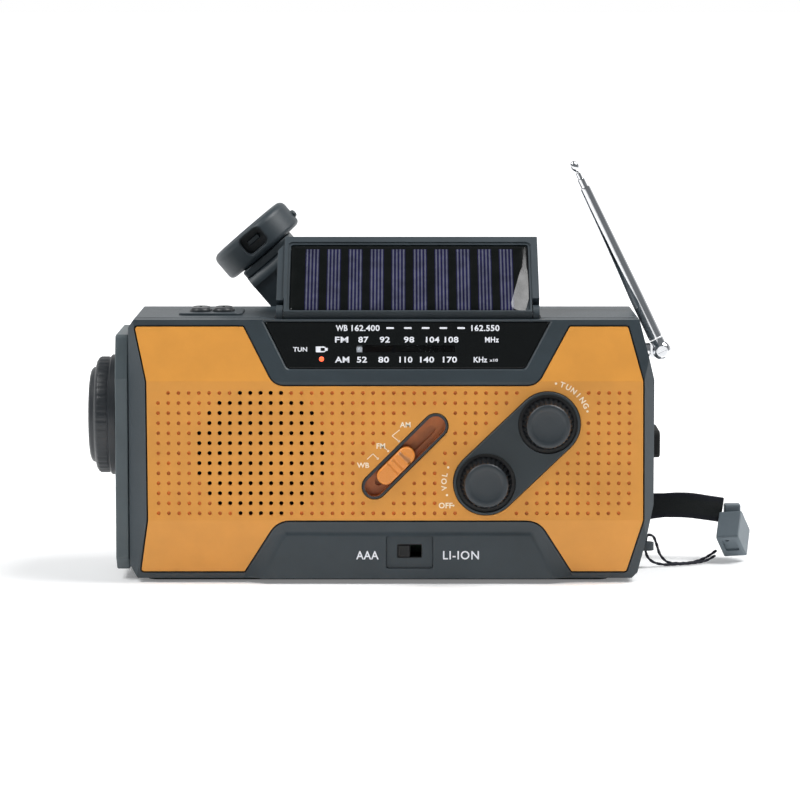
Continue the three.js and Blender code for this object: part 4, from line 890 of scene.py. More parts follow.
def hinge_lug(side):
    inner = CENTRE_X + side * LUG_INNER
    outer = inner + side * LUG_THICK
    span = (min(inner, outer), max(inner, outer))
    top = rod("X", HINGE, *span, LUG_RADIUS, 40)
    foot = box(span, (HINGE[0] - LUG_RADIUS, HINGE[0] + LUG_RADIUS), (POCKET_FLOOR - 1, HINGE[1]))
    return soften(joined(top, foot), 0.4, 2, 40)


def slot_outline(radius, half=SLOT_HALF):
    return capsule(*SLOT, half, radius, SLOT_ANGLE)


def plate_outline(radius):
    return capsule(*PLATE_MIDDLE, PLATE_HALF, radius, PLATE_ANGLE, 24)


def at_switch(half_width, half_height):
    x, z = SWITCH
    return x - half_width, x + half_width, z - half_height, z + half_height


def button_outline(x, radius):
    return capsule(x, BUTTON_Y, BUTTON_HALF, radius, math.pi / 2, 12)


def button_wells(floor_height):
    radius = BUTTON_RADIUS + BUTTON_GAP
    return [prism(button_outline(x, radius), floor_height, FAR, "Z") for x in BUTTON_X]


def dial_seat():
    edge = [(a, -0.6, b) for a, b in dial_outline(-1.5)]
    floor = [(a, 0.5, b) for a, b in dial_outline(-0.3)]
    deep = [(a, 1.8, b) for a, b in dial_outline(-0.3)]
    seat = loft([edge, floor, deep])
    joined(seat, channel(0.8, 0, 6), rod("Y", LED, 0, 8, LED_BORE, 20))
    return onto_dial(seat)


def tray(front, rear):
    """The walls and floor round the pocket that the solar panel folds down into."""
    sides = (POCKET_X[0] - CASE_WALL, POCKET_X[1] + CASE_WALL)
    return box(sides, (front, rear), (POCKET_FLOOR - CASE_WALL, CASE_TOP - 1))


def pocket(front):
    return slab((*POCKET_X, front, POCKET_REAR), 2, 5, POCKET_FLOOR, FAR, "Z")


def front_case():
    case = shell_half(-FAR, CASE_SPLIT)
    joined(case, soften(lower_block(), 0.5, 3, 6), tray(POCKET_FRONT - 1.5, CASE_SPLIT))
    cut(case, pocket(POCKET_FRONT))
    joined(case, hinge_lug(1), hinge_lug(-1))
    seat = cut(prism(inset(panel_outline, -0.4), -FAR, 0, "Y"), block(1.6, EDGE))
    holes = [
        rod("X", HINGE, -FAR, FAR, HINGE_BORE, 24),
        seat,
        dial_seat(),
        prism(circle(*SPEAKER, SPEAKER_OPENING), -FAR, 0, "Y"),
        prism(slot_outline(SLOT_RADIUS + 0.3), -FAR, 0, "Y"),
        slab(SWITCH_RECESS, 0.8, 4, -FAR, SWITCH_FACE + 0.9, "Y"),
        prism(rectangle(*at_switch(4.6, 2.6)), -FAR, 0, "Y"),
        rod("X", KNUCKLE[1:], 60, FAR, ANTENNA_BORE, 32),
        box((60, FAR), (-6, 6), (PORT_Z - 4.1, PORT_Z + 4.1)),
        rod("X", LAMP, -FAR, -60, LAMP_OPENING, 32),
    ]
    holes += [rod("Y", place, CASE_FRONT, 0, KNOB_BORE, 24) for place in (TUNING, VOLUME)]
    cut(case, *holes, *button_wells(90.2))
    return soften(case, 0.16, 1, 40)


def rear_case():
    case = shell_half(CASE_SPLIT + SEAM, FAR)
    boss = rod("Y", CRANK, CASE_REAR - 1, CASE_REAR + 2, 10, 64)
    joined(case, soften(boss, 0.6, 3, 40), tray(CASE_SPLIT + SEAM, POCKET_REAR + CASE_WALL))
    screw_wells = [rod("Y", place, SCREW_SEAT, FAR, 3, 32) for place in SCREWS]
    x, z = VENT_FIRST
    vents = [
        prism(capsule(x + VENT_PITCH * i, z, 8, 0.9, math.pi / 2, 6), 31.6, FAR, "Y") for i in range(6)
    ]
    cut(
        case,
        pocket(0),
        rod("Y", CRANK, 20, FAR, SHAFT_BORE, 32),
        box((DOOR[0] - 0.3, DOOR[1] + 0.3), (27, FAR), (DOOR[2] - 0.3, DOOR[3] + 0.3)),
        *screw_wells,
        *vents,
    )
    return soften(case, 0.16, 1, 40)


def screw(x, z):
    head = turned([(0, 0), (2.6, 0), (2.6, 0.5), (2.1, 1.1), (0, 1.4)], 32)
    for angle in (0, 90):
        bar = moved(box((-1.6, 1.6), (-0.3, 0.3), (0.7, 2)), turn_about("Z", angle + 20))
        cut(head, bar)
    return moved(head, shift(x, SCREW_SEAT, z) @ turn_about("X", -90))


piece("front_shell", front_case(), "radio", case_plastic, ["front_case"])
piece("rear_shell", rear_case(), "radio", case_plastic, ["rear_case"])
for number, place in enumerate(SCREWS, 1):
    piece(f"rear_screw_{number}", screw(*place), "radio", steel)
strap()
piece("strap_lock_block", strap_lock(), "radio", lock_plastic, ["strap_lock"])
piece("strap_eye", strap_lug(), "radio", case_plastic, ["strap_lug"])


def base_pad():
    pad = slab((-87.5, 78, -22, 27), 4, 6, 0, 1.4, "Z")
    first, pitch = -14.5, 8.5
    for i in range(5):
        cut(pad, prism(capsule(-4.75, first + i * pitch, 76, 1.2, 0, 8), -1, 0.5, "Z"))
    return soften(pad, 0.25, 2, 40)


piece("foot_pad", base_pad(), "radio", rubber, ["base_pad"])


# ---------------------------------------------------------------- front panel

HOLE_PITCH = (3.63, 3.58)
PIERCED = 41  # squared radius of the pierced field, in pitches
GRID_COLUMNS = 47
GRID_ROWS = 6  # above and below the middle row
SPEAKER_COLUMN = 10
KNOB_CLEAR = 13.65
SLOT_CLEAR = 7.2
BAND_LABEL_HIGH = 10.3  # how far the band names reach over the slot
BAND_LABEL_ALONG = (-16, 14)
TUNING_LABEL_REACH = 16.5
TUNING_LABEL_BEARING = (15, 80)
LABEL_BOXES = ((17.7, 21.2, 31.5, 41.4), (17, 24.5, 28, 31))  # round "VOL" and "OFF"


def from_segment(point, start, end):
    start, end, point = Vector(start), Vector(end), Vector(point)
    along = end - start
    share = max(0, min(1, (point - start).dot(along) / along.length_squared))
    return (point - start - along * share).length


def dimple_is_free(x, z):
    """Keeps the grid clear of the knobs, the slot and the lettering."""
    if from_segment((x, z), TUNING, VOLUME) < KNOB_CLEAR:
        return False
    axis = Vector((math.cos(SLOT_ANGLE), math.sin(SLOT_ANGLE)))
    slot_ends = [tuple(Vector(SLOT) + axis * side * SLOT_HALF) for side in (-1, 1)]
    if from_segment((x, z), *slot_ends) < SLOT_CLEAR:
        return False
    offset = Vector((x, z)) - Vector(SLOT)
    along, over = offset.dot(axis), offset.dot(Vector((-axis.y, axis.x)))
    if 0 < over < BAND_LABEL_HIGH and BAND_LABEL_ALONG[0] < along < BAND_LABEL_ALONG[1]:
        return False
    reach = Vector((x, z)) - Vector(TUNING)
    bearing = math.degrees(math.atan2(reach.y, reach.x))
    first, last = TUNING_LABEL_BEARING
    if reach.length < TUNING_LABEL_REACH and first < bearing < last:
        return False
    return not any(left < x < right and low < z < high for left, right, low, high in LABEL_BOXES)


def dimple_grid():
    pierced, blind = [], []
    left_out = ((0, GRID_ROWS), (GRID_COLUMNS - 1, -GRID_ROWS))  # two corners of the grid
    for column in range(GRID_COLUMNS):
        for row in range(-GRID_ROWS, GRID_ROWS + 1):
            x = SPEAKER[0] + (column - SPEAKER_COLUMN) * HOLE_PITCH[0]
            z = SPEAKER[1] + row * HOLE_PITCH[1]
            if (column - SPEAKER_COLUMN) ** 2 + row ** 2 <= PIERCED:
                pierced.append((x, z))
            elif (column, row) not in left_out and dimple_is_free(x, z):
                blind.append((x, z))
    return pierced, blind


def cones(centres, near, far, near_radius, far_radius, sides):
    bm = bmesh.new()
    for x, z in centres:
        start, end = [], []
        for i in range(sides):
            turn = 2 * math.pi * i / sides
            c, s = math.cos(turn), math.sin(turn)
            start.append(bm.verts.new((x + near_radius * c, near, z + near_radius * s)))
            end.append(bm.verts.new((x + far_radius * c, far, z + far_radius * s)))
        bm.faces.new(start)
        bm.faces.new(end)
        for i in range(sides):
            j = (i + 1) % sides
            bm.faces.new((start[i], start[j], end[j], end[i]))
    return from_bmesh(bm)


pierced_places, blind_places = dimple_grid()
DENT_RADIUS = 0.82


def front_panel():
    sheet = common(cut(block(0, EDGE), block(1.3)), prism(inset(panel_outline, 0.15), -FAR, 0, "Y"))
    cut(sheet, prism(plate_outline(PLATE_RADIUS + PRESS_FIT), -FAR, 0, "Y"))
    cut(sheet, prism(slot_outline(SLOT_RADIUS + PRESS_FIT), -FAR, 0, "Y"))
    soften(sheet, 0.3, 3, 40)
    dents = cones(blind_places, CASE_FRONT - 0.3, CASE_FRONT + 0.45, DENT_RADIUS, 0.48, 12)
    holes = cones(pierced_places, CASE_FRONT - 0.4, CASE_FRONT + 2, DENT_RADIUS, 0.66, 12)
    return combine(sheet, "DIFFERENCE", [dents, holes], "MANIFOLD")


def grid_cell(x, z):
    return round(x / HOLE_PITCH[0]), round(z / HOLE_PITCH[1])


dent_by_cell = {grid_cell(x, z): (x, z) for x, z in blind_places}


def dent_or_sheet(centre, _):
    """The blind dents are painted a darker rust-brown inside, as painted shade in the hollows; the rest
    of the panel is orange.
    """
    dent = dent_by_cell.get(grid_cell(centre.x, centre.z))
    sunk = CASE_FRONT + 0.02 < centre.y < CASE_FRONT + 0.8
    return 1 if dent and sunk and math.dist((centre.x, centre.z), dent) < DENT_RADIUS else 0


piece("orange_panel", front_panel(), "radio", [orange_plastic, dent_shade_plastic],
      ["front_panel"], paint=dent_or_sheet)


# ---------------------------------------------------------------- lettering

PRINT_THICK = 0.05


def lettering(text, height, place, spacing, width=None, weight=0.03):
    """Raised print, centred on its place and facing out along the place's Z; the weight thickens it."""
    curve = bpy.data.curves.new("print", "FONT")
    curve.body = text
    curve.size = height / 0.73
    curve.align_x = "CENTER"
    curve.align_y = "CENTER"
    curve.space_character = spacing
    curve.offset = weight * height
    curve.resolution_u = 3
    obj = bpy.data.objects.new("print", curve)
    scene.collection.objects.link(obj)
    graph = bpy.context.evaluated_depsgraph_get()
    mesh = bpy.data.meshes.new_from_object(obj.evaluated_get(graph))
    bpy.data.objects.remove(obj)
    bpy.data.curves.remove(curve)
    bm = bmesh.new()
    bm.from_mesh(mesh)
    bpy.data.meshes.remove(mesh)
    bmesh.ops.remove_doubles(bm, verts=bm.verts, dist=0.001)
    raised = bmesh.ops.extrude_face_region(bm, geom=bm.faces[:])
    tops = [v for v in raised["geom"] if isinstance(v, bmesh.types.BMVert)]
    bmesh.ops.translate(bm, vec=(0, 0, PRINT_THICK), verts=tops)
    xs = [v.co.x for v in bm.verts]
    ys = [v.co.y for v in bm.verts]
    centre = Vector(((min(xs) + max(xs)) / 2, (min(ys) + max(ys)) / 2, 0))
    bmesh.ops.translate(bm, vec=-centre, verts=bm.verts)
    stretch = width / (max(xs) - min(xs)) if width else 1
    bm.transform(place @ Matrix.Diagonal((stretch, 1, 1, 1)))
    return from_bmesh(bm)


def on_plane(origin, x, z, degrees=0.0):
    """The frame of a print on the origin's plane, turned by some degrees."""
    return origin @ shift(x, 0, z) @ turn_about("X", 90) @ turn_about("Z", degrees)


def patch(outline, frame_matrix):
    made = prism(outline, 0, PRINT_THICK, "Z")
    return moved(made, frame_matrix)


DIAL_FACE = shift(0, CASE_FRONT, UPPER_FOLD) @ turn_about("X", -DIAL_TILT) @ shift(0, 0.4, 0)
PANEL_FACE = shift(0, CASE_FRONT, 0)
BLOCK_FACE = shift(0, BLOCK_FRONT, 0)
PRINT_SPACING = 1.05
LABEL_HEIGHT = 1.95
LABEL_RADIUS = 14.9
TOP_ROW = 19.3
# Rows of words on the dial: height on the dial, letter height, then each word's place and width.
DIAL_ROWS = (
    (TOP_ROW, 2.15, (("WB", -17.5, 4.2), ("162.400", -9.0, 10.0), ("162.550", 33.5, 10.0))),
    (15.1, 2.15, (("FM", -17.5, 4.7),)),
    (15.1, 2.1, (("87", -9.8, 3.6), ("92", -2.2, 3.6), ("98", 6.4, 3.7), ("104", 14.8, 4.8),
                 ("108", 21.5, 4.9))),
    (15.1, 2.0, (("MHz", 35.8, 4.9),)),
    (11.6, 1.6, (("TUN", -32.2, 5.0),)),
    (7.9, 2.15, (("AM", -17.3, 5.1),)),
    (7.9, 2.1, (("52", -10.3, 3.6), ("80", -2.6, 3.8), ("110", 5.3, 4.6), ("140", 12.8, 5.0),
                ("170", 20.9, 5.0))),
    (7.9, 2.0, (("KHz", 31.7, 4.8),)),
    (7.7, 1.0, (("x10", 36.4, 2.9),)),
)
DASH_FIRST = -0.3
DASH_PITCH = 6.3


def dial_prints():
    made = [
        lettering(text, height, on_plane(DIAL_FACE, x, row), PRINT_SPACING, width)
        for row, height, words in DIAL_ROWS
        for text, x, width in words
    ]
    for i in range(5):
        dash = rounded(rectangle(-1.35, 1.35, -0.33, 0.33), 0.2, 2)
        made.append(patch(dash, on_plane(DIAL_FACE, DASH_FIRST + DASH_PITCH * i, TOP_ROW)))
    battery = cut(
        slab((-2.1, 1.5, -1.05, 1.05), [0.3, 0.8, 0.8, 0.3], 3, 0, PRINT_THICK, "Z"),
        slab((-0.4, 1.1, -0.6, 0.6), 0.2, 2, -1, 1, "Z"),
    )
    joined(battery, prism(rectangle(1.4, 2.1, -0.5, 0.5), 0, PRINT_THICK, "Z"))
    made.append(moved(battery, on_plane(DIAL_FACE, LED[0] + 0.05, 11.6)))
    return merge(made)


def polar(centre, radius, degrees):
    turn = math.radians(degrees)
    return centre[0] + radius * math.cos(turn), centre[1] + radius * math.sin(turn)


def panel_prints():
    made = []

    def word(text, x, z, height, degrees=0.0):
        place = on_plane(PANEL_FACE, x, z, degrees)
        made.append(lettering(text, height, place, PRINT_SPACING, weight=0.035))

    def dot(x, z, radius=0.42):
        made.append(patch(circle(x, z, radius, 16), on_plane(PANEL_FACE, 0, 0)))

    def line(*points):
        for (x0, z0), (x1, z1) in zip(points, points[1:]):
            half, angle = math.dist((x0, z0), (x1, z1)) / 2, math.atan2(z1 - z0, x1 - x0)
            outline = capsule((x0 + x1) / 2, (z0 + z1) / 2, half, 0.14, angle, 4)
            made.append(patch(outline, on_plane(PANEL_FACE, 0, 0)))

    def round_label(centre, letters, first, step, dot_radius, dots):
        for i, letter in enumerate(letters):
            angle = first - i * step
            word(letter, *polar(centre, LABEL_RADIUS, angle), LABEL_HEIGHT, angle - 90)
        for angle in dots:
            dot(*polar(centre, dot_radius, angle))

    word("WB", -9.9, 42.7, 1.9)
    word("FM", -3.6, 49.6, 1.9)
    word("AM", 5.05, 57.2, 1.9)
    line((3.0, 55.3), (0.4, 53.2), (2.8, 51.3))
    line((-8.4, 44.9), (-6.4, 46.8), (-4.7, 45.1))
    line((-2.2, 48.9), (-1.2, 48.0))
    for place in ((2.8, 51.3), (-1.0, 47.8), (-4.7, 45.1)):
        dot(*place)
    round_label(TUNING, "TUNING", 70, 8.8, 14.7, (79, 18))
    round_label(VOLUME, "VOL", 187, 9.2, 14.5, (157.5, 197.5))
    word("OFF", 19.4, 28.3, 2.0)
    dot(22.2, 28.3, 0.35)
    return merge(made)


def block_prints():
    return merge([
        lettering("AAA", 3.1, on_plane(BLOCK_FACE, -8.4, 10.4), PRINT_SPACING, 8.0, 0.02),
        lettering("LI-ION", 3.1, on_plane(BLOCK_FACE, 24.9, 10.4), 1.12, 12.8, 0.02),
    ])


piece("dial_lettering", dial_prints(), "radio", print_white)
piece("panel_lettering", panel_prints(), "radio", print_cream)
piece("block_lettering", block_prints(), "radio", print_white)


# ---------------------------------------------------------------- dial

def dial_window():
    rim = 0.35
    front = [[(a, depth, b) for a, b in dial_outline(margin)] for margin, depth in
             ((rim, 0.4), (rim * 0.3, 0.52), (0, 0.75), (0, 0.95))]
    pane = cut(loft(front), channel(0.3, -1, 3), rod("Y", LED, -1, 3, LED_BORE - 0.05, 24))
    return onto_dial(pane)


def channel_glass():
    return onto_dial(channel(0.27, 0.42, 0.9))


def dial_scale():
    sheet = prism(dial_outline(0.2), 1, 1.5, "Y")
    return onto_dial(cut(sheet, channel(0.4, 0, 4), rod("Y", LED, -1, 3, LED_BORE, 20)))


def dial_pointer():
    x, row = POINTER_X, POINTER_ROW
    half_width, half_height = POINTER_HALF
    sides = (x - half_width, x + half_width, row - half_height, row + half_height)
    flag = slab(sides, 0.3, 3, 1.0, 3.4, "Y")
    cut(flag, prism(rectangle(x - 0.35, x + 0.35, row - 0.2, row + 0.5), 0, 1.4, "Y"))
    return onto_dial(soften(flag, 0.1, 2, 40))


def power_led():
    made = turned([(0, -5), (1.1, -5), (1.1, -0.75), (0.95, -0.45), (0.6, -0.25), (0, -0.16)], 24)
    return onto_dial(moved(made, shift(LED[0], 0, LED[1]) @ turn_about("X", 90)))


piece("dial_pane", dial_window(), "radio", window_black, ["dial_window"])
piece("dial_pane_clear", channel_glass(), "radio", smoked_clear)
piece("dial_plate", dial_scale(), "radio", black_and_painted_shade_plastic, ["dial_scale"])
piece("dial_flag", dial_pointer(), "pointer", pointer_painted_glow, ["dial_pointer"])
piece("power_lamp", power_led(), "radio", led_red, ["power_led"])


# ---------------------------------------------------------------- knobs

KNOB_RIBS = 30
KNOB_LENGTH = 8
RIB_DEPTHS = {4: 0.3, 5: 0.3, 6: 0.24, 7: 0.1}  # by row of the knob's profile
WELL_RADIUS = 10.5
PLATE_PROUD = 0.9


def knob_plate():
    front = CASE_FRONT - PLATE_PROUD
    plate = prism(plate_outline(PLATE_RADIUS), front, CASE_FRONT + 1.3, "Y")
    soften(plate, 0.5, 3, 40)
    wells = []
    for place in (TUNING, VOLUME):
        wells.append(prism(circle(*place, WELL_RADIUS, 72), front - 1, front + 1.2, "Y"))
        wells.append(rod("Y", place, front - 1, 0, KNOB_BORE, 24))
    return soften(cut(plate, *wells), 0.15, 2, 40)


def control_knob(x, z):
    """A ribbed skirt that narrows to a smooth, dished cap."""
    profile = [
        (0, -8), (3, -8), (3, 0), (9.2, 0), (9.2, 0.8), (8.9, 1.3), (8.15, 6.5), (7.95, 7.1),
        (7.75, 7.5), (7.45, 7.85), (7.1, KNOB_LENGTH), (6.1, 7.95), (5.7, 7.75), (5.2, 7.62),
        (3, 7.5), (0, 7.46),
    ]

    def reach(number, turn, radius):
        return radius - RIB_DEPTHS.get(number, 0) * (1 - math.cos(KNOB_RIBS * turn))

    made = turned(profile, KNOB_RIBS * 6, reach)
    return faced_front(moved(made, shift(x, z, 0)), CASE_FRONT)


def cap_or_skirt(centre, normal):
    """The knob's end faces are its lighter cap."""
    return 1 if centre.y < CASE_FRONT - KNOB_LENGTH + 0.65 and abs(normal.y) > 0.5 else 0


def shaded_well_or_plate(centre, _):
    """The round wells that the knobs stand in are painted black, as painted shade round the knobs."""
    reach = min(math.dist((centre.x, centre.z), place) for place in (TUNING, VOLUME))
    return 1 if reach < WELL_RADIUS + 0.05 and centre.y > CASE_FRONT - PLATE_PROUD + 0.02 else 0


piece("knob_surround", knob_plate(), "radio", [plate_plastic, black_and_painted_shade_plastic], ["knob_plate"],
      paint=shaded_well_or_plate)
for use, place in (("tuning", TUNING), ("volume", VOLUME)):
    piece(f"{use}_dial_knob", control_knob(*place), use, [knob_skirt_plastic, knob_cap_plastic],
          [f"{use}_knob"], 50, cap_or_skirt)


# ---------------------------------------------------------------- band slot and slider

SLOT_FLOOR = -29.8
SLOT_REAR = -28.4
SLIDER_REST = -4.6


def band_slot():
    tub = prism(slot_outline(SLOT_RADIUS), CASE_FRONT - 0.4, SLOT_REAR, "Y")
    soften(tub, 0.3, 3, 40)
    cut(
        tub,
        prism(slot_outline(SLOT_RADIUS - 0.9), -FAR, SLOT_FLOOR, "Y"),
        prism(slot_outline(1.4, SLOT_HALF - 2), -FAR, 0, "Y"),
    )
    return tub


def tub_reflection_or_rim(centre, _):
    """The inside of the tub is painted brown, a painted reflection of the orange thumb in its floor;
    the rim is dark.
    """
    turn = Matrix.Rotation(-SLOT_ANGLE, 2)
    along, over = turn @ (Vector((centre.x, centre.z)) - Vector(SLOT))
    beyond_end = max(0, abs(along) - SLOT_HALF)
    inside = math.hypot(over, beyond_end) < SLOT_RADIUS - 0.8
    return 1 if inside and centre.y > CASE_FRONT + 0.1 else 0


def on_slot(obj, rest):
    """Turns a shape made flat along X up the slot, its middle a distance up from the slot's middle."""
    x = SLOT[0] + rest * math.cos(SLOT_ANGLE)
    z = SLOT[1] + rest * math.sin(SLOT_ANGLE)
    faced = FACE_FRONT @ turn_about("Z", math.degrees(SLOT_ANGLE))
    return moved(obj, shift(x, CASE_FRONT, z) @ faced)


def band_slider():
    """A long thumb piece with grip ridges across it; made flat along X, then turned up the slot."""
    thumb = domed(lambda d: capsule(0, 0, 5.1, 3.1 - d, 0, 12), 2.0, -2.6, 0.9)
    for i in range(4):
        cut(thumb, rod("Y", (-3.6 + 2.4 * i, 2.55), -5, 5, 1.0, 24))
    stem = prism(capsule(0, 0, 1.5, 0.9, 0, 6), -5.8, -2.2, "Z")
    joined(thumb, stem)
    soften(thumb, 0.12, 2, 40)
    return on_slot(thumb, SLIDER_REST)


def slot_shutter():
    """A thin strip behind the tub that closes its slit wherever the slider stands."""
    strip = prism(capsule(2.4, 0, 20.8, 1.9, 0, 8), -5.0, -4.7, "Z")
    return on_slot(soften(strip, 0.05, 1, 40), SLIDER_REST)


piece("band_tub", band_slot(), "radio", [dark_plastic, brown_phenolic_and_painted_reflection], ["band_slot"],
      paint=tub_reflection_or_rim)
# The shutter shows through the slit in the same brown, part of the painted reflection in the tub.
piece("band_shutter", slot_shutter(), "band", brown_phenolic_and_painted_reflection)
piece("band_thumb", band_slider(), "band", orange_gloss, ["band_slider"])


# ---------------------------------------------------------------- battery source switch

def switch_window():
    outline = rounded(inset(rectangle(*SWITCH_RECESS), 0.06), 0.75, 4)
    plate = prism(outline, SWITCH_FACE, SWITCH_FACE + 0.7, "Y")
    cut(plate, slab(at_switch(4.4, 2.4), 0.3, 3, -FAR, 0, "Y"))
    return soften(plate, 0.2, 2, 40)


def switch_shade_lining():
    """A thin black sleeve that lines the opening, as painted shade on its walls."""
    outer = slab(at_switch(4.38, 2.38), 0.3, 3, SWITCH_FACE - 0.05, SWITCH_FACE + 1.5, "Y")
    return cut(outer, slab(at_switch(4.2, 2.22), 0.3, 3, -FAR, 0, "Y"))


def switch_thumb():
    width = 4
    left = SWITCH[0] - width
    low, high = SWITCH[1] - 2, SWITCH[1] + 2
    front = SWITCH_FACE - 0.5
    cap = soften(box((left, left + width), (front, front + 2.7), (low, high)), 0.3, 3, 40)
    for i in range(3):
        groove = capsule(left + 1 + i, SWITCH[1], 1.2, 0.25, math.pi / 2, 4)
        cut(cap, prism(groove, -FAR, front + 0.3, "Y"))
    foot = (left - 0.2, left + width + 0.2)
    base = box(foot, (front + 1.4, front + 5.3), (low - 0.2, high + 0.2))
    return joined(cap, base)


piece("switch_plate", switch_window(), "radio", case_plastic, ["switch_window"])
piece("switch_shade_sleeve", switch_shade_lining(), "radio", black_and_painted_shade_plastic)
piece("switch_slider", switch_thumb(), "source", black_and_painted_shade_plastic, ["source_switch"])


# ---------------------------------------------------------------- top buttons

def button_pad():
    pad = domed(
        lambda d: rounded(inset(rectangle(*PAD_SIDES), d), 3 - d, 5),
        CASE_TOP + 0.8, CASE_TOP + 0.05, 0.5, 4,
    )
    return cut(pad, *button_wells(CASE_TOP - 1))


def top_button(x):
    top = CASE_TOP + BUTTON_PROUD
    cap = domed(lambda d: button_outline(x, BUTTON_RADIUS - d), top, CASE_TOP - 3, 1.6, 8, 1.2)
    notch = prism(capsule(x, BUTTON_Y, 1.6, 0.45, math.pi / 2, 6), top - 0.25, FAR, "Z")
    return cut(cap, notch)


piece("button_tray", button_pad(), "radio", case_plastic, ["button_pad"])
for x, key in zip(BUTTON_X, ("light", "sos")):
    piece(f"{key}_key_cap", top_button(x), f"{key}_key", dark_plastic,
          [f"{key}_button"])


# ---------------------------------------------------------------- end cap and flashlight

CAP_LEFT = -98.5
LAMP_BACK = -98.8
LAMP_RIBS = 44


def end_cap():
    corners = [
        (-24, 8), (-19, 3.4), (22, 3.4), (27, 8), (27, 83), (22, 88), (-19.6, 88), (-24, UPPER_FOLD),
    ]
    plate = prism(rounded(corners, 1.6, 3), CAP_LEFT, -93.8, "X")
    cut(plate, rod("X", LAMP, -FAR, -60, CAP_OPENING, 64))
    return soften(plate, 0.6, 3, 40)


def lamp_part(profile, sides, reach=None):
    """Rows of (radius, distance out from the cap), turned about the lamp's axis."""
    made = turned(profile, sides, reach)
    return moved(made, shift(LAMP_BACK, *LAMP) @ turn_about("Y", -90))


def lamp_bezel():
    profile = [
        (17, 0), (21.8, 0), (21.8, 2.2), (21.4, 2.6), (20.9, 2.8), (20.9, 3.2), (21.1, 3.5),
        (21.1, 6.2), (20.6, 7.0), (19.6, 7.6), (18.2, 7.9), (17.7, 8.0), (17.4, 8.3), (17.1, 9.1),
        (16.4, 9.7), (15.4, 10), (14.4, 10), (14.0, 9.7), (14.0, 8.5), (17, 6.6), (17, 0),
    ]
    grooves = {5: 0.06, 6: 0.22, 7: 0.22, 8: 0.12}  # depth by row of the profile

    def reach(number, turn, radius):
        narrow = max(0, math.cos(LAMP_RIBS * turn)) ** 4
        return radius - grooves.get(number, 0) * narrow

    return lamp_part(profile, LAMP_RIBS * 6, reach)


def lamp_reflector():
    bowl = [(3 + 11.4 * (i / 14) ** 0.62, -10.5 + 11.5 * i / 14) for i in range(15)]
    back = [(3, -12), (9, -6.6), (13.4, -1), (16.4, 0.5), (16.4, 5), (15.4, 5)]
    return lamp_part([*back, *reversed(bowl), back[0]], 72)


def lamp_led():
    board = lamp_part([(0, -13.5), (9, -13.5), (9, -12.4), (0, -12.4)], 48)
    chip = lamp_part([(0, -12.5), (2.6, -12.5), (2.6, -9.6), (2.2, -8.5), (1.4, -7.6), (0, -7.2)], 48)
    return joined(board, chip)


def lamp_lens():
    turns = [math.pi / 2 * i / 8 for i in range(9)]
    front = [(13.6 * math.cos(turn), 8.4 + 1.5 * math.sin(turn)) for turn in turns]
    return lamp_part([(0, 5.4), (16.4, 5.4), (16.4, 6.4), (13.7, 7), *front[:-1], (0, 9.9)], 72)


piece("left_cap", end_cap(), "radio", cap_plastic, ["end_cap"])
piece("lamp_bezel", lamp_bezel(), "radio", dark_plastic, ["flashlight_bezel"])
piece("lamp_reflector", lamp_reflector(), "radio", chrome, ["flashlight_reflector"])
piece("lamp_led", lamp_led(), "radio", led_body, ["flashlight_led"])
piece("lamp_lens", lamp_lens(), "radio", lens_clear, ["flashlight_lens"])


# ---------------------------------------------------------------- solar lid

LID_PLACE = shift(CENTRE_X, *HINGE) @ turn_about("X", 37.5)
LID_HALF = 47
LID_LENGTH = 38
LID_THICK = 4  # from the hinge's middle to either face
FLANGE_THICK = 3.1
NOTCH = 44.3  # how far out the cut-outs for the hinge lugs begin
cells_outline = rounded(rectangle(-42.4, 43.6, -1.2, 34.2), 1.0, 4)


def lid_frame():
    """The side view keeps a rounded barrel at the hinge and a flat front above it."""
    side = [(-2.4, LID_THICK), (LID_LENGTH, LID_THICK), (LID_LENGTH, -LID_THICK), (0, -LID_THICK)]
    side += [polar((0, 0), LID_THICK, angle) for angle in range(-105, -226, -15)]
    body = prism(side, -LUG_INNER, LID_HALF, "X")
    flange = prism([(a, min(b, FLANGE_THICK)) for a, b in side], -LID_HALF, -LUG_INNER + 0.2, "X")
    corner = box((-8, 8), (0, 20), (-9, 9))
    moved(corner, shift(-LUG_INNER + 0.2, 35.4, 0) @ turn_about("Z", 56))
    joined(body, cut(flange, corner))
    soften(body, 0.55, 3, 28)
    cut(
        body,
        prism(cells_outline, LID_THICK - 1.7, LID_THICK + 2, "Z"),
        prism(inset(cells_outline, -0.9), LID_THICK - 0.55, LID_THICK + 2, "Z"),
        rod("X", (0, 0), -FAR, FAR, HINGE_BORE, 24),
    )
    grooves = [
        box((x - 0.5, x + 0.5), (6, 34), (-LID_THICK - 1, -LID_THICK + 0.6)) for x in range(-36, 37, 12)
    ]
    notches = [box(edges, (-5, 4.6), (-5, 5)) for edges in ((NOTCH, 48), (-48, -NOTCH))]
    cut(body, *grooves, *notches)
    return moved(soften(body, 0.14, 2, 40), LID_PLACE)


def lid_cells():
    """The cell plate under clear resin, whose surface swells in the middle and rolls off at the rim."""
    resin = domed(lambda d: rounded(inset(rectangle(-42.1, 43.3, -0.9, 33.9), d), max(0.2, 1 - d), 4),
                  LID_THICK - 0.25, LID_THICK - 1.35, 0.75, 8, 3.4)
    slope = moved(
        box((-40, 40), (-60, 60), (0, 20)),
        shift(38.4, 10, LID_THICK - 0.25) @ turn_about("Z", -12) @ turn_about("Y", 11)
        @ shift(40, 0, 0),
    )
    return moved(soften(cut(resin, slope), 1.2, 6, 5), LID_PLACE)


def lid_pin():
    half = LUG_INNER + LUG_THICK
    pin = rod("X", (0, 0), -half, half, HINGE_BORE - 0.3, 24)
    return moved(soften(pin, 0.3, 2, 40), LID_PLACE)


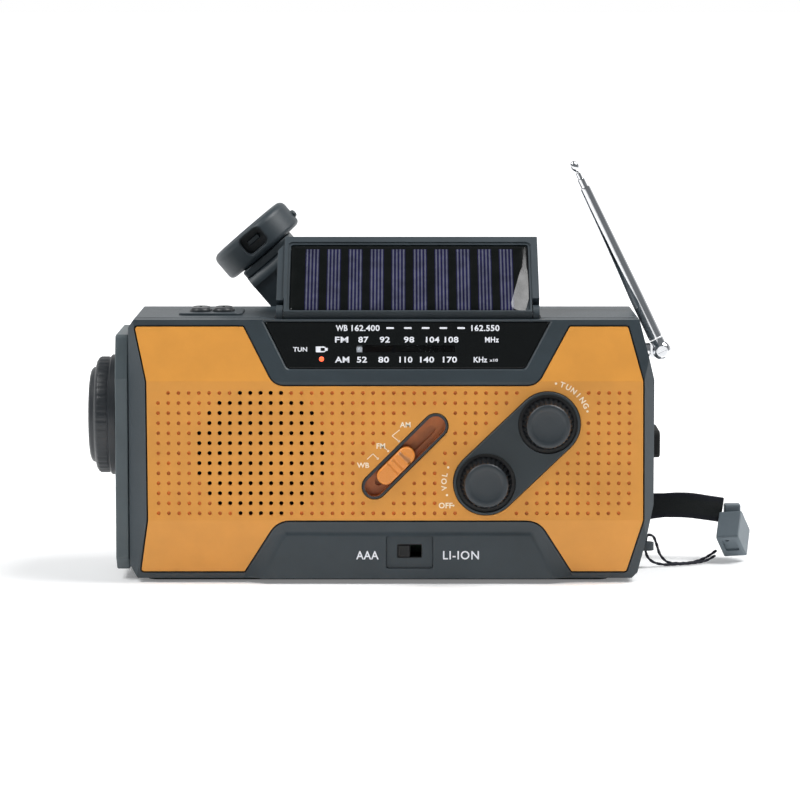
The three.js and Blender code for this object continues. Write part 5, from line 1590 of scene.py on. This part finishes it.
piece("lid_frame", lid_frame(), "solar_lid", case_plastic, ["solar_frame"])
piece("lid_cells", lid_cells(), "solar_lid", solar_resin, ["solar_cells"], 60)
piece("lid_pin", lid_pin(), "solar_lid", steel, ["solar_hinge_pin"])


# ---------------------------------------------------------------- hand crank

CRANK_ANGLE = math.degrees(math.atan2(0.76, -0.65))
CRANK_PLACE = shift(CRANK[0], 0, CRANK[1]) @ turn_about("Y", -CRANK_ANGLE)
ARM = (35.4, 42.4)
ARM_HALF = 11
EAR_RADIUS = 3.5
EAR_INNER = 5.5
FOLD, FOLD_Y = FOLD_PLACE = (48.3, 38.9)
PIN_BORE = 1.7
STEM_HALF = 5.2
STEM_RADIUS = 3.3
GUARD_RADII = (3.7, 4.5)
STEM_LEFT = 52.2
STEM_PLATE = 3
KNOB_LEFT = 55.5
GRIP_Y = 50.5
GRIP_RADIUS = 16.7
GRIP_THICK = 11


def crank_arm():
    outline = [p for p in circle(0, 0, ARM_HALF, 72) if p[0] <= 0.01]
    plate = prism([*outline, (FOLD, -ARM_HALF), (FOLD, ARM_HALF)], *ARM, "Y")
    joined(plate, rod("Z", FOLD_PLACE, -ARM_HALF, ARM_HALF, EAR_RADIUS, 48))
    soften(plate, 0.7, 3, 40)
    cut(
        plate,
        box((FOLD - 4.2, FOLD + 6), (36.6, 50), (-EAR_INNER, EAR_INNER)),
        rod("Z", FOLD_PLACE, -EAR_INNER, EAR_INNER, EAR_RADIUS + 0.02, 48),
        rod("Z", FOLD_PLACE, -ARM_HALF - 1, ARM_HALF + 1, PIN_BORE, 24),
        rod("Y", (0, 0), 30, 41, SHAFT_BORE, 32),
        slab((9, 38, -6.6, 6.6), 3, 6, 41.6, 60, "Y"),
    )
    return moved(soften(plate, 0.2, 2, 40), CRANK_PLACE)


def crank_stem():
    stem_right = STEM_LEFT + STEM_PLATE
    neck_points = [
        (FOLD, FOLD_Y - STEM_RADIUS), (FOLD + 3.4, FOLD_Y - 3), (stem_right, FOLD_Y + 1),
        (stem_right, 45.4), (STEM_LEFT, 45.4), (STEM_LEFT, FOLD_Y + 3.9),
        (STEM_LEFT - 1.2, FOLD_Y + STEM_RADIUS), (FOLD, FOLD_Y + STEM_RADIUS),
    ]
    stem = rod("Z", FOLD_PLACE, -STEM_HALF, STEM_HALF, STEM_RADIUS, 48)
    flange = slab((36, 58.5, -ARM_HALF, ARM_HALF), 2, 6, STEM_LEFT, stem_right, "X")
    spindle = rod("X", (GRIP_Y, 0), STEM_LEFT + 1, KNOB_LEFT + GRIP_THICK - 4, 2.5, 32)
    guard = cut(
        rod("Z", FOLD_PLACE, -ARM_HALF, ARM_HALF, GUARD_RADII[1], 64),
        rod("Z", FOLD_PLACE, -ARM_HALF - 1, ARM_HALF + 1, GUARD_RADII[0], 64),
        box((FOLD - 9, FOLD + 9), (FOLD_Y, FOLD_Y + 9), (-12, 12)),
        box((FOLD - 9, FOLD), (FOLD_Y - 9, FOLD_Y + 9), (-12, 12)),
    )
    neck = prism(neck_points, -STEM_HALF, STEM_HALF, "Z")
    joined(stem, neck, soften(flange, 0.5, 3, 40), spindle, guard)
    cut(stem, rod("Z", FOLD_PLACE, -20, 20, PIN_BORE, 24))
    return moved(soften(stem, 0.2, 2, 40), CRANK_PLACE)


def arc(centre, radius, start, end, steps=6):
    """Rows of (radius, height) round a corner, angles in degrees."""
    return [polar(centre, radius, start + (end - start) * i / steps) for i in range(steps + 1)]


def crank_knob():
    """A fat disc with rounded rims, a dished outer face and a square grip hole in its side."""
    radius, thick = GRIP_RADIUS, GRIP_THICK
    bore, floor_height = 2.8, GRIP_THICK - 3.4
    profile = [
        (bore, 0), *arc((radius - 1.8, 1.8), 1.8, -90, 0),
        *arc((radius - 2.6, thick - 2.6), 2.6, 0, 90),
        (radius - 3.4, thick - 0.1), (radius - 4.0, thick - 0.5), (0, thick - 0.6),
        (0, floor_height), (bore, floor_height), (bore, 0),
    ]
    disc = turned(profile, 96)
    moved(disc, shift(KNOB_LEFT, GRIP_Y, 0) @ turn_about("Y", 90))
    middle = KNOB_LEFT + thick / 2 + 0.8
    hole = slab((middle - 3.5, middle + 3.5, -4.6, 4.6), 2.0, 8, 30, GRIP_Y - 8, "Y")
    rim = slab((middle - 4.0, middle + 4.0, -5.1, 5.1), 2.4, 8, 30, GRIP_Y - 15.3, "Y")
    cut(disc, hole, rim)
    soften(disc, 0.25, 2, 45)
    bar = box((middle - 0.6, middle + 1.2), (GRIP_Y - 12.6, GRIP_Y - 7.8), (-2.6, 2.6))
    stud = turned([(0, -1), (1.5, -1), (1.5, 0.6), (1.2, 1.1), (0.6, 1.35), (0, 1.4)], 32)
    moved(stud, shift(KNOB_LEFT + 4, GRIP_Y, -radius + 0.2) @ turn_about("Y", 180))
    joined(disc, soften(bar, 0.3, 2, 40))
    joined(disc, stud)
    return moved(disc, CRANK_PLACE)


def fold_pin():
    half = ARM_HALF - 0.4
    pin = rod("Z", FOLD_PLACE, -half, half, PIN_BORE - 0.3, 24)
    return moved(soften(pin, 0.25, 2, 40), CRANK_PLACE)


piece("crank_lever", crank_arm(), "crank", case_plastic, ["crank_arm"])
piece("crank_neck", crank_stem(), "crank_fold", case_plastic, ["crank_stem"])
piece("crank_grip_disc", crank_knob(), "crank_grip", case_plastic, ["crank_knob"], 50)
piece("crank_pin", fold_pin(), "crank", steel, ["crank_fold_pin"])


# ---------------------------------------------------------------- antenna

MAST_PLACE = shift(*KNUCKLE) @ turn_about("Y", -25.6)
BALL_RADIUS = 3.6
FORK_HALF = 1.2  # half the gap that the tongue stands in
TONGUE_HALF = 0.9
TONGUE_RADIUS = 2.4


def antenna_base():
    barrel = turned(
        [(0, 0), (2.9, 0), (2.9, 9), (2.6, 9.4), (2.6, 10), (2.9, 10.4), (2.9, 13.0), (2.5, 13.5),
         (0, 13.5)], 48,
    )
    x, y, z = KNUCKLE
    start = CASE_RIGHT - CASE_WALL - 6
    reach = (x - 4.2 - start) / 13.5
    moved(barrel, shift(start, y, z) @ turn_about("Y", 90) @ Matrix.Diagonal((1, 1, reach, 1)))
    thick = (y - TONGUE_HALF, y + TONGUE_HALF)
    tongue = box((x - 4.8, x), thick, (z - TONGUE_RADIUS, z + TONGUE_RADIUS))
    return joined(barrel, tongue, rod("Y", (x, z), *thick, TONGUE_RADIUS, 40))


def antenna_knuckle():
    """A round fork over the base's tongue, with a slotted screw across it."""
    sphere = [(0, -BALL_RADIUS), *arc((0, 0), BALL_RADIUS, -81, 81, 18), (0, BALL_RADIUS)]
    ball = turned(sphere, 48)
    joined(ball, rod("Z", (0, 0), 0, 4.7, 2.6, 48))
    gap = (-FORK_HALF, FORK_HALF)
    cut(ball, box((-6, 6), gap, (-6, 2.9)), box((-6, 0.4), gap, (-6, 4.2)))
    flats = [rod("Y", (0, 0), side * 2.9, side * 6, BALL_RADIUS, 32) for side in (-1, 1)]
    cut(ball, *flats)
    for side in (-1, 1):
        head = rod("Y", (0, 0), side * 1.6, side * 3.5, 1.9, 40)
        slit = sorted((side * 3.1, side * 4))
        cut(head, box((-2.4, 2.4), slit, (-0.3, 0.3)))
        joined(ball, soften(head, 0.15, 2, 40))
    return moved(soften(ball, 0.15, 2, 45), MAST_PLACE)


MAST_SECTIONS = [
    [(1.5, 7), (1.5, 5), (2.4, 5), (2.6, 5.3), (2.6, 22), (2.0, 65.4), (1.85, 66), (1.7, 66),
     (1.7, 7), (1.5, 7)],
    [(0.9, 11), (0.9, 9), (1.4, 9), (1.4, 69.2), (1.25, 69.5), (1.2, 69.5), (1.2, 11), (0.9, 11)],
    [(0.5, 13), (0.5, 11), (0.95, 11), (0.95, 71.6), (0.85, 71.8), (0.8, 71.8), (0.8, 13), (0.5, 13)],
    [(0, 13), (0.55, 13), (0.55, 72.4), (0.8, 72.6), (1.4, 73.4), (1.65, 74.4), (1.4, 75.6),
     (0.8, 76.4), (0, 76.6)],
]


piece("antenna_swivel_base", antenna_base(), "antenna_swivel", chrome, ["antenna_base"], 45)
piece("antenna_fork", antenna_knuckle(), "antenna_mast", chrome, ["antenna_knuckle"], 45)
MAST_BODIES = ["antenna_mast", "antenna_stage_2", "antenna_stage_3", "antenna_stage_4"]
for number, (rows, body) in enumerate(zip(MAST_SECTIONS, MAST_BODIES), 1):
    tube = moved(turned(rows, 40), MAST_PLACE)
    piece(f"antenna_tube_{number}", tube, body, chrome, [f"antenna_section_{number}"], 45)


# ---------------------------------------------------------------- ports, door and the inside

def port_cover():
    flap = slab((-14, 9, PORT_Z - 4.9, PORT_Z + 4.9), 2, 6, CASE_RIGHT + 0.3, CASE_RIGHT + 3.2, "X")
    soften(flap, 0.7, 3, 40)
    joined(flap, box((92, 94.6), (-5.4, 5.4), (PORT_Z - 3.4, PORT_Z + 3.4)))
    lip = prism(capsule(-11.6, PORT_Z, 2.4, 0.5, math.pi / 2, 6), 96.4, 98, "X")
    return cut(flap, lip)


def battery_door():
    """A flush door with a ribbed finger grip and an arrow under it."""
    plate = slab(DOOR, 0.8, 4, CASE_REAR - 1.8, CASE_REAR, "Y")
    soften(plate, 0.3, 2, 40)
    grip = slab((-13, 3, 43.6, 48.2), 1, 4, CASE_REAR - 0.8, 40, "Y")
    arrow = prism([(-9, 38), (-5, 34), (-1, 38), (-5, 36)], CASE_REAR - 0.3, 40, "Y")
    cut(plate, grip, arrow)
    depth = (CASE_REAR - 1, CASE_REAR - 0.25)
    ribs = [box((-11 + 2 * i, -10.2 + 2 * i), depth, (44.4, 47.4)) for i in range(7)]
    return joined(plate, *ribs)


piece("port_flap_cover", port_cover(), "port_flap", rubber, ["port_cover"])
piece("door_panel", battery_door(), "door", case_plastic, ["battery_door"])


def speaker():
    rear = 18
    profile = [
        (0, 4), (4, 3.6), (8, 4.6), (14, 3.2), (20, 1.4), (21.4, 0.7), (22.4, 0.5), (23.4, 0.7),
        (24, 0.6), (25.6, 0.6), (25.6, 2.8), (23, 3), (14, 9), (14, rear), (0, rear),
    ]
    place = shift(SPEAKER[0], CASE_FRONT + CASE_WALL + 0.3, SPEAKER[1])
    return moved(turned(profile, 64), place @ turn_about("X", -90))


piece("speaker_driver", speaker(), "radio", black_and_painted_shade_plastic, ["speaker"])

NODE_FINISHES = {
    "tuning_capacitor": nylon,
    "volume_control": steel,
    "band_switch": brown_phenolic_and_painted_reflection,
    "circuit_board": board_green,
    "lithium_cell": cell_blue,
    "aaa_cell_1": brass,
    "aaa_cell_2": brass,
    "aaa_cell_3": brass,
    "ferrite_rod": ferrite,
    "crank_shaft": steel,
    "drive_gear": nylon,
    "idler_gear": nylon,
    "generator_pinion": steel,
    "gear_bracket": steel,
    "generator": steel,
    "port_socket": steel,
}


def dress_nodes():
    """The mechanical pieces of the inside keep their own shape, with softened edges."""
    for name, finish in NODE_FINISHES.items():
        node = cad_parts[name]
        node.data.materials.clear()
        node.data.materials.append(finish)
        step = node.modifiers.new("soften", "BEVEL")
        step.width = 0.15 * MM
        step.segments = 2
        step.limit_method = "ANGLE"
        step.angle_limit = math.radians(40)
        step.harden_normals = True


dress_nodes()


# ---------------------------------------------------------------- floor and light

FLOOR_HALF = 60
FLOOR_HEIGHT = -0.00002
GLOW_SPAN = (0.1, 1.1)  # metres behind the radio
GLOW_STRENGTH = (0.2, 0.95)
SKY_LEVEL = 0.35
SKY_DARK = (0.17, 0.18, 0.19)
SKY_BRIGHT = (1.0, 1.0, 1.0)


def floor():
    """White paper that runs off behind the radio, lit a little from below so that it stays white."""
    bm = bmesh.new()
    corners = rectangle(-FLOOR_HALF, FLOOR_HALF, -FLOOR_HALF, FLOOR_HALF)
    bm.faces.new([bm.verts.new((x, y, 0)) for x, y in corners])
    made = from_bmesh(bm)
    made.name = "floor"
    made.location.z = FLOOR_HEIGHT
    paper = Finish("floor_paper")
    tint = paper.tint(paper.noise(30, 3), (0.93, 0.93, 0.93), (0.95, 0.95, 0.95))
    behind = paper.split(paper.coords)["Y"]
    made.data.materials.append(paper.surface(
        Base_Color=tint, Emission_Color=tint, Roughness=0.9,
        Emission_Strength=paper.span(behind, *GLOW_STRENGTH, *GLOW_SPAN),
    ))


def area_light(name, place, target, size, power):
    data = bpy.data.lights.new(name, "AREA")
    data.shape = "RECTANGLE"
    data.size, data.size_y = size
    data.energy = power
    light = bpy.data.objects.new(name, data)
    light.location = place
    direction = Vector(target) - Vector(place)
    light.rotation_euler = direction.to_track_quat("-Z", "Y").to_euler()
    scene.collection.objects.link(light)


def studio_world():
    """A bright backdrop behind the radio that fades to grey overhead and in front."""
    world = bpy.data.worlds.new("studio")
    scene.world = world
    world.use_nodes = True
    sky = Nodes(world.node_tree)
    _, y, z = sky.split(sky.node("TexCoord").outputs["Generated"])
    level = sky.math("SUBTRACT", sky.math("ADD", y, SKY_LEVEL), sky.math("ABSOLUTE", z))
    tint = sky.tint(level, SKY_DARK, SKY_BRIGHT, 0.0, 1.0)
    sky.put(world.node_tree.nodes["Background"], {"Color": tint, "Strength": 1.0})


floor()
area_light("left_softbox", (-0.9, -0.35, 1.25), (0, 0, 0.05), (0.7, 0.7), 13)
area_light("right_softbox", (0.75, -0.05, 1.3), (0, 0, 0.05), (0.6, 0.8), 18)
studio_world()
